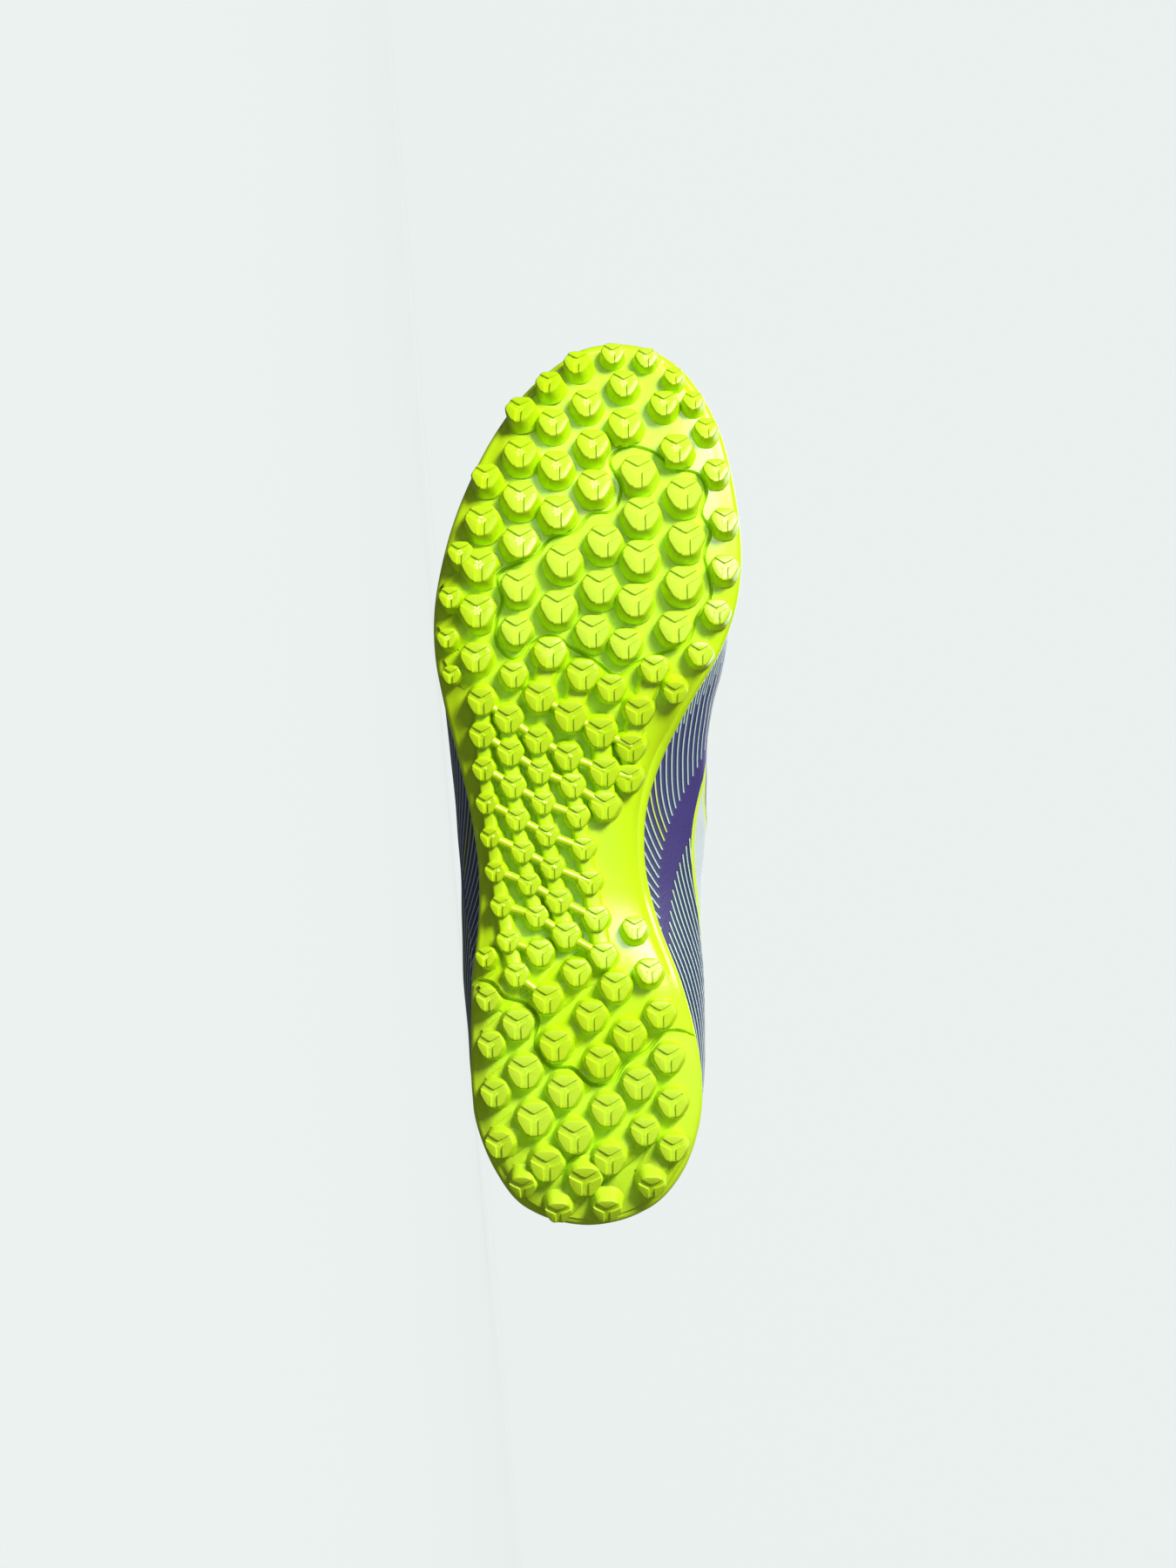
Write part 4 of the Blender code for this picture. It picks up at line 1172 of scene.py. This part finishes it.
# Slope, pitch, phase, offset, run, sense and width of the full stripes, those between, and the rear ones
MEDIAL_STRIPES = [
    (FRONT_SLOPE, FRONT_PITCH, 0.32, 18.84, 0.69, 1, 0.52),
    (FRONT_SLOPE, FRONT_PITCH, 0.82, 32.8, 0.684, 1, 0.45),
    (0.05, 1.60, 0.1, 34.9, 0.497, -1, 0.45),
]
LATERAL_STRIPES = [
    (FRONT_SLOPE, FRONT_PITCH, 0.10, 12.0, 0.69, 1, 0.46),
    (FRONT_SLOPE, FRONT_PITCH, 0.60, 30.0, 0.684, 1, 0.40),
    (0.05, 1.60, 0.4, 32.0, 0.497, -1, 0.42),
]
medial_skin = make_skin("medial_fused_knit", MEDIAL_STRIPES)
lateral_skin = make_skin("lateral_fused_knit", LATERAL_STRIPES)
lining_cloth = make_cloth("lining_knit", "#23202F", "#3A3650", 0.9, 0.85, 0.0002)
mesh_cloth = make_cloth("tongue_spacer_mesh", "#1D1838", "#4A3F86", 1.3, 0.8, 0.0004)
insole_cloth = make_cloth("insole_brushed_cloth", "#3C3D44", "#5A5C66", 0.6, 0.9, 0.00012)
rim_cloth = make_cloth("collar_knit_binding", "#33287A", "#4E4198", 0.8, 0.75, 0.0002)


def eyelet(pair, side):
    """Station and distance from the ridge of one eyelet. Pair 0 is the front one."""
    front, top = THROAT_FRONT - 0.022, THROAT_TOP + 0.022
    share = front + (top - front) * pair / (EYELET_PAIRS - 1)
    return share, side * (section_line(round(share, 6))[2] + EYELET_MARGIN)


def eyelet_places():
    """Point and turn of every eyelet on the last."""
    for pair in range(EYELET_PAIRS):
        for side in (LATERAL, MEDIAL):
            point, normal = above_last(*eyelet(pair, side), 0.0)
            yield point, Vector((0, 0, 1)).rotation_difference(normal).to_matrix()


def punches():
    """Round cutters through every eyelet."""
    bm = bmesh.new()
    for point, turn in eyelet_places():
        bmesh.ops.create_cone(
            bm,
            segments=20,
            cap_ends=True,
            radius1=EYELET_RADIUS,
            radius2=EYELET_RADIUS,
            depth=6 * WALL,
            matrix=Matrix.Translation(point) @ turn.to_4x4(),
        )
    return cutting_object(bm, "punches")


def make_shell(cutter):
    """The upper's skin with its wall and lining, and its station and height as a map."""
    bm = bmesh.new()
    layer = bm.loops.layers.uv.new("skin")
    sections, heights = [], {}
    steps = 150
    shares = [i / steps - 0.075 * math.sin(2 * math.pi * i / steps) for i in range(steps + 1)]
    shares = sorted(shares + [THROAT_FRONT - THROAT_ROUND * s for s in (0.7, 0.45, 0.25, 0.12, 0.05, 0.0)])
    for share in shares:
        pair = []
        for side in (LATERAL, MEDIAL):
            rib = upper_rib(share, side, *FINE_ROWS)
            verts = [bm.verts.new(p) for p in rib]
            rise = -(rib[1] - rib[0]).length
            for vert, p, q in zip(verts, rib, [rib[0], *rib]):
                rise += (p - q).length
                heights[vert] = (rib[0].x, rise)
            pair.append(verts)
        sections.append(pair)
    for near, far in zip(sections, sections[1:]):
        for low in range(len(near[0]) - 1):
            quads = (
                ((near[0][low], far[0][low], far[0][low + 1], near[0][low + 1]), 1),
                ((near[1][low], near[1][low + 1], far[1][low + 1], far[1][low]), 0),
            )
            for quad, index in quads:
                face = bm.faces.new(quad)
                face.material_index = index
    for end in (sections[0], sections[-1]):
        for low in range(len(end[0]) - 1):
            bm.faces.new((end[0][low], end[0][low + 1], end[1][low + 1], end[1][low]))
    for face in bm.faces:
        for loop in face.loops:
            loop[layer].uv = heights[loop.vert]
    bmesh.ops.remove_doubles(bm, verts=bm.verts, dist=1e-5)
    bmesh.ops.recalc_face_normals(bm, faces=bm.faces)
    side_face = max(bm.faces, key=lambda f: f.calc_center_median().y)
    if side_face.normal.y < 0:
        bmesh.ops.reverse_faces(bm, faces=bm.faces)
    shell = shoe_object(bm, "upper_shell", [medial_skin, lateral_skin, lining_cloth, lining_cloth])
    wall = shell.modifiers.new("wall", "SOLIDIFY")
    wall.thickness = WALL
    wall.offset = -1
    wall.use_even_offset = True
    wall.material_offset = 2
    wall.material_offset_rim = 2
    cut_by(shell, cutter)
    baked(shell)
    shade(shell.data, 50)
    return shell


def grid_sheet(name, rows, thickness, materials, cutter=None):
    """A smooth sheet over rows of points, with a thickness below it and softened borders."""
    bm = bmesh.new()
    verts = [[bm.verts.new(point) for point in row] for row in rows]
    for near, far in zip(verts, verts[1:]):
        for i in range(len(near) - 1):
            bm.faces.new((near[i], near[i + 1], far[i + 1], far[i]))
    bmesh.ops.remove_doubles(bm, verts=bm.verts, dist=2e-5)
    bmesh.ops.recalc_face_normals(bm, faces=bm.faces)
    bm.faces.ensure_lookup_table()
    if bm.faces[len(bm.faces) // 2].normal.z < 0:
        bmesh.ops.reverse_faces(bm, faces=bm.faces)
    sheet = shoe_object(bm, name, materials)
    body = sheet.modifiers.new("thickness", "SOLIDIFY")
    body.thickness = thickness
    body.offset = -1
    body.use_even_offset = True
    if cutter:
        cut_by(sheet, cutter)
    soften = sheet.modifiers.new("soft_border", "BEVEL")
    soften.width = min(0.0003, thickness * 0.4)
    soften.segments = 2
    soften.limit_method = "ANGLE"
    soften.angle_limit = math.radians(50)
    baked(sheet)
    shade(sheet.data, 55)
    return sheet


STAY_WIDTH = 0.0150
STAY_FRONT = 0.738


def stay_width(share):
    """Width of the eyestay, rounded off in front of the throat."""
    ahead = max(0.0, (share - 0.695) / (STAY_FRONT - 0.695))
    return STAY_WIDTH * math.sqrt(max(0.0, 1 - ahead * ahead))


def make_stay(side, cutter):
    """The eyestay's overlay on one side of the throat."""
    rows = []
    for share in np.linspace(THROAT_TOP + 0.004, STAY_FRONT - 0.0005, 46):
        inner = section_line(round(float(share), 6))[2] + 0.0006
        if share > THROAT_FRONT:
            inner = 0.0
        reach = [inner + max(0.0004, stay_width(share)) * j / 8 for j in range(9)]
        rows.append([above_last(float(share), side * r, 0.00075)[0] for r in reach])
    name = "eyestay_lateral" if side == LATERAL else "eyestay_medial"
    return grid_sheet(name, rows, 0.0007, [rim_cloth], cutter)


def sweep(name, path, section, materials, uv=None):
    """A tube along a path: each step is (point, across, up) and the section's points are shares of them."""
    bm = bmesh.new()
    layer = bm.loops.layers.uv.new(uv) if uv else None
    rings, travelled, spots = [], 0.0, {}
    for i, (point, across, up) in enumerate(path):
        if i:
            travelled += (point - path[i - 1][0]).length
        ring = [bm.verts.new(point + across * x + up * z) for x, z in section]
        for j, vert in enumerate(ring):
            spots[vert] = (travelled, section[j][0])
        rings.append(ring)
    join_rings(bm, rings, capped=True)
    if layer:
        for face in bm.faces:
            for loop in face.loops:
                loop[layer].uv = spots[loop.vert]
    bmesh.ops.recalc_face_normals(bm, faces=bm.faces)
    return shoe_object(bm, name, materials)


def make_collar():
    """The padded binding along the collar, from the lateral top eyelet round the heel to the medial one."""
    radius = 0.0021
    line = [(share, LATERAL) for share in np.linspace(THROAT_TOP + 0.006, 0.0, 70)]
    line += [(share, MEDIAL) for share in np.linspace(0.0, THROAT_TOP + 0.006, 70)]
    ribs = [upper_rib(float(share), side, *FINE_ROWS) for share, side in line]
    points = [rib[-1] for rib in ribs]
    belows = [rib[-4] for rib in ribs]
    path = []
    for i, (point, below) in enumerate(zip(points, belows)):
        along = (points[min(len(points) - 1, i + 1)] - points[max(0, i - 1)]).normalized()
        down = (below - point).normalized()
        across = along.cross(down).normalized()
        up = across.cross(along).normalized()
        end = min(i, len(points) - 1 - i)
        size = radius * math.sqrt(min(1.0, (end + 0.25) / 4))
        path.append((point - up * 0.0006 * (1 if up.dot(down) < 0 else -1), across * size, up * size))
    section = [(x, 1.15 * z) for x, z in circle(14)]
    return sweep("collar_binding", path, section, [rim_cloth])


def make_tongue():
    """The padded tongue with its sewn channels, crowned between its edges."""
    depth = -(WALL + 2 * GAP + TONGUE_THICKNESS / 2)
    front, top = THROAT_FRONT + 0.035, THROAT_TOP + 0.012
    columns = 20
    rows = []
    for t in np.linspace(0, 1, 34):
        share = float(front + (top - front) * t)
        half = TONGUE_WIDTH / 2 * (TONGUE_TUCK + (1 - TONGUE_TUCK) * t)
        rows.append([above_last(share, float(a), depth) for a in np.linspace(-half, half, columns + 1)])
    rise = Vector((-math.cos(TONGUE_LEAN), 0, math.sin(TONGUE_LEAN))) * TONGUE_RISE
    seat = rows[-1]
    middle = seat[columns // 2][0].y
    for t in np.linspace(0.12, 1.0, 9):
        narrow = float(np.interp(t, (0.0, 0.3, 0.75, 1.0), (1.0, 0.85, 0.78, 0.64)))
        row = []
        for point, normal in seat:
            spot = point + rise * float(t)
            spot.y = middle + (spot.y - middle) * narrow
            row.append((spot, normal))
        rows.append(row)
    bm = bmesh.new()
    count = len(rows)
    faces = []
    for sense in (1, -1):
        sheet = []
        for i, row in enumerate(rows):
            line = []
            for j, (point, normal) in enumerate(row):
                if sense < 0 and (j in (0, columns) or i in (0, count - 1)):
                    line.append(faces[0][i][j])
                    continue
                a = 2 * j / columns - 1
                b = min(i, count - 1 - i)
                plump = (1 - abs(a) ** 6) ** 0.5 * min(1.0, (b / 1.6)) ** 0.5
                channel = 0.0
                if sense > 0 and i > 20:
                    channel = 0.0006 * max(0.0, 1 - abs((i % 6) - 3) / 1.2) * (1 - abs(a) ** 4)
                height = sense * (TONGUE_THICKNESS / 2) * plump - channel
                line.append(bm.verts.new(point + normal * height))
            sheet.append(line)
        faces.append(sheet)
    for sheet in faces:
        for near, far in zip(sheet, sheet[1:]):
            for j in range(columns):
                bm.faces.new((near[j], near[j + 1], far[j + 1], far[j]))
    bmesh.ops.recalc_face_normals(bm, faces=bm.faces)
    return shoe_object(bm, "tongue_pad", [mesh_cloth])


def make_insole():
    """The foam sock liner, its border rounded and its heel hollowed a little."""
    inset = RIM_WIDTH + WALL + 4 * GAP
    rows = ((0.0006, 0.0), (0.0, 0.0008), (0.0, 0.0030), (0.0004, 0.0037), (0.0012, INSOLE_THICKNESS))
    bm = bmesh.new()
    rings = []
    for more, rise in rows:
        points = rim_ring(inset + more, lambda x, y, rise=rise: footbed(x) + GAP + rise)
        rings.append([bm.verts.new(p) for p in points])
    join_rings(bm, rings)

    def top(x, y):
        middle = 0.5 * (edge(LATERAL, x) + edge(MEDIAL, x))
        share = min(1.0, abs(y - middle) / 0.02)
        hollow = 0.0009 * (1 - ease(0.25, 0.40, x / LENGTH)) * (1 - share * share)
        return footbed(x) + GAP + INSOLE_THICKNESS - hollow

    fill_plan(bm, rings[0], 8, lambda x, y: footbed(x) + GAP)
    fill_plan(bm, rings[-1], 14, top)
    bmesh.ops.recalc_face_normals(bm, faces=bm.faces)
    return shoe_object(bm, "sock_liner", [insole_cloth])


def make_lace_weave():
    """Flat woven polyester: a herringbone of 0.8 mm picks, read from the lace's own map."""
    values = {"Roughness": 0.7, "Sheen Weight": 0.2}
    made, tree, surface = new_finish("woven_polyester_lace", values)
    chart = add(tree, "ShaderNodeUVMap", uv_map="lace").outputs["UV"]
    spot = add(tree, "ShaderNodeSeparateXYZ", {"Vector": chart})
    away = maths(tree, "ABSOLUTE", spot.outputs["Y"])
    picks = maths(tree, "MULTIPLY", spot.outputs["X"], 7850.0)
    wave = maths(tree, "SINE", maths(tree, "MULTIPLY_ADD", away, 14.0, picks))
    level = maths(tree, "MULTIPLY_ADD", wave, 0.5, 0.5)
    # Lighter on the picks' crests and darker where the relief below sinks them: partly the weave's own
    # tone, partly painted shade
    tree.links.new(mixed(tree, level, "#A9CE1F", "#CFEE3C"), surface.inputs["Base Color"])
    tree.links.new(bump(tree, level, 0.7, 0.0002), surface.inputs["Normal"])
    return made


def lace_path(start, end, lift):
    """One flat run of lace, up out of one eyelet, over the throat and down into another."""
    steps = 26
    heights = LACE_LIFT + LACE_THICKNESS / 2 + 0.0003
    spots = []
    for i in range(steps + 1):
        t = i / steps
        share = start[0] + (end[0] - start[0]) * t
        across = start[1] + (end[1] - start[1]) * t
        dip = max(0.0, 1 - min(t, 1 - t) / 0.075)
        height = heights + lift * math.sin(math.pi * t) ** 4 - 0.0042 * dip**2
        spots.append((*above_last(share, across, height), 1 - 0.42 * dip))
    path = []
    for i, (point, normal, narrow) in enumerate(spots):
        along = (spots[min(steps, i + 1)][0] - spots[max(0, i - 1)][0]).normalized()
        wide = along.cross(normal).normalized()
        thick = wide.cross(along).normalized()
        path.append((point, wide * LACE_WIDTH / 2 * narrow, thick * LACE_THICKNESS / 2))
    return path


def make_laces(weave):
    """The crossed laces, one piece."""
    section = [
        (math.copysign(abs(x) ** 0.45, x), math.copysign(abs(z) ** 0.75, z)) for x, z in circle(16)
    ]
    paths = [lace_path(eyelet(0, LATERAL), eyelet(0, MEDIAL), 0.0)]
    for pair in range(EYELET_PAIRS - 1):
        for side in (LATERAL, MEDIAL):
            over = LACE_THICKNESS * 1.15 if side == MEDIAL else 0.0
            paths.append(lace_path(eyelet(pair, side), eyelet(pair + 1, -side), over))
    bm = bmesh.new()
    for path in paths:
        run = sweep("lace_run", path, section, [weave], "lace")
        bm.from_mesh(run.data)
        drop(run)
    laces = smooth_object(bm, "woven_laces")
    laces.data.materials.append(weave)
    return laces


def ring_master():
    """A small pressed ring round an eyelet."""
    radius, wire = EYELET_RADIUS + 0.0003, 0.0004
    bm = bmesh.new()
    rings = []
    for x, y in circle(24):
        ring = []
        for outward, up in circle(8):
            reach = radius + wire * outward
            ring.append(bm.verts.new((reach * x, reach * y, 0.7 * wire * up)))
        rings.append(ring)
    join_rings(bm, rings, looped=True, flip=True)
    bmesh.ops.recalc_face_normals(bm, faces=bm.faces)
    return smooth_object(bm, "ring_master")


def stitch_places():
    """A stitch every 2.6 mm along the outer border of each eyestay."""
    places = []
    for side in (LATERAL, MEDIAL):
        line = []
        for share in np.linspace(THROAT_TOP + 0.006, STAY_FRONT - 0.006, 120):
            share = float(share)
            inner = section_line(round(share, 6))[2] if share < THROAT_FRONT else 0.0
            across = inner + max(0.0012, stay_width(share) - 0.0016)
            line.append(above_last(share, side * across, 0.00085))
        left = 0.0
        for (a, normal), (b, _) in zip(line, line[1:]):
            left += (b - a).length
            if left >= 0.0026:
                left = 0.0
                along = (b - a).normalized()
                across = along.cross(normal).normalized()
                turn = Matrix((across, along, across.cross(along))).transposed()
                places.append((a, turn, (1.0, 1.0, 1.0), 0.0))
    return places


def stitch_master():
    """One stitch: a short thread whose ends go down into the cloth."""
    bm = bmesh.new()
    rings = []
    for i in range(7):
        t = i / 6 - 0.5
        size = 0.00022 * math.sqrt(max(0.15, 1 - (2 * t) ** 4))
        point = Vector((0, 0.0019 * t, 0.0001 - 0.0005 * (2 * t) ** 4))
        rings.append([bm.verts.new(point + Vector((size * x, 0, size * z))) for x, z in circle(6)])
    join_rings(bm, rings, capped=True)
    bmesh.ops.recalc_face_normals(bm, faces=bm.faces)
    return smooth_object(bm, "stitch_master")


def make_heel_tab():
    """A flat pull tab that runs from the collar down the middle of the heel."""
    half, rows = 0.0065, []
    lateral = upper_rib(0.0, LATERAL, *FINE_ROWS)
    medial = upper_rib(0.0, MEDIAL, *FINE_ROWS)
    spine = [(a + b) / 2 for a, b in zip(lateral, medial)][11:]
    for i, point in enumerate(reversed(spine)):
        t = i / (len(spine) - 1)
        back = Vector((-0.0011 - 0.0006 * math.sin(math.pi * t), 0, 0))
        low = max(0.0, (t - 0.80) / 0.20)
        width = half * (1 - 0.25 * t) * math.sqrt(1 - 0.94 * low * low)
        row = []
        for j in range(9):
            a = 2 * j / 8 - 1
            row.append(point + back + Vector((0.0016 * a * a, a * width, 0)))
        rows.append(row)
    return grid_sheet("heel_tab", rows, 0.0009, [rim_cloth])


weave = make_lace_weave()
thread = make_cloth("stitch_thread", "#8FA0B4", "#B9CAD6", 0.2, 0.6, 0.00005)
cutter = punches()
shell = make_shell(cutter)
stays = [make_stay(LATERAL, cutter), make_stay(MEDIAL, cutter)]
drop(cutter)
collar = make_collar()
tongue = make_tongue()
insole = make_insole()
laces = make_laces(weave)
ring_places = [
    (point + turn @ Vector((0, 0, 0.0008)), turn, (1.0, 1.0, 1.0), 0.0) for point, turn in eyelet_places()
]
rings = scatter("eyelet_rings", ring_master(), ring_places, rim_cloth)
stitches = scatter("eyestay_stitches", stitch_master(), stitch_places(), thread)
heel_tab = make_heel_tab()

for piece, names, kind in (
    (shell, ["upper"], "indigo_textile"),
    (stays[0], [], "indigo_textile"),
    (stays[1], [], "indigo_textile"),
    (collar, [], "indigo_textile"),
    (heel_tab, [], "indigo_textile"),
    (rings, [], "indigo_textile"),
    (stitches, [], "indigo_textile"),
    (tongue, ["tongue"], "dark_mesh"),
    (insole, ["insole"], "grey_foam"),
    (laces, ["lacing"], "lime_cord"),
):
    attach(piece, "root")
    if names:
        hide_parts(*names)
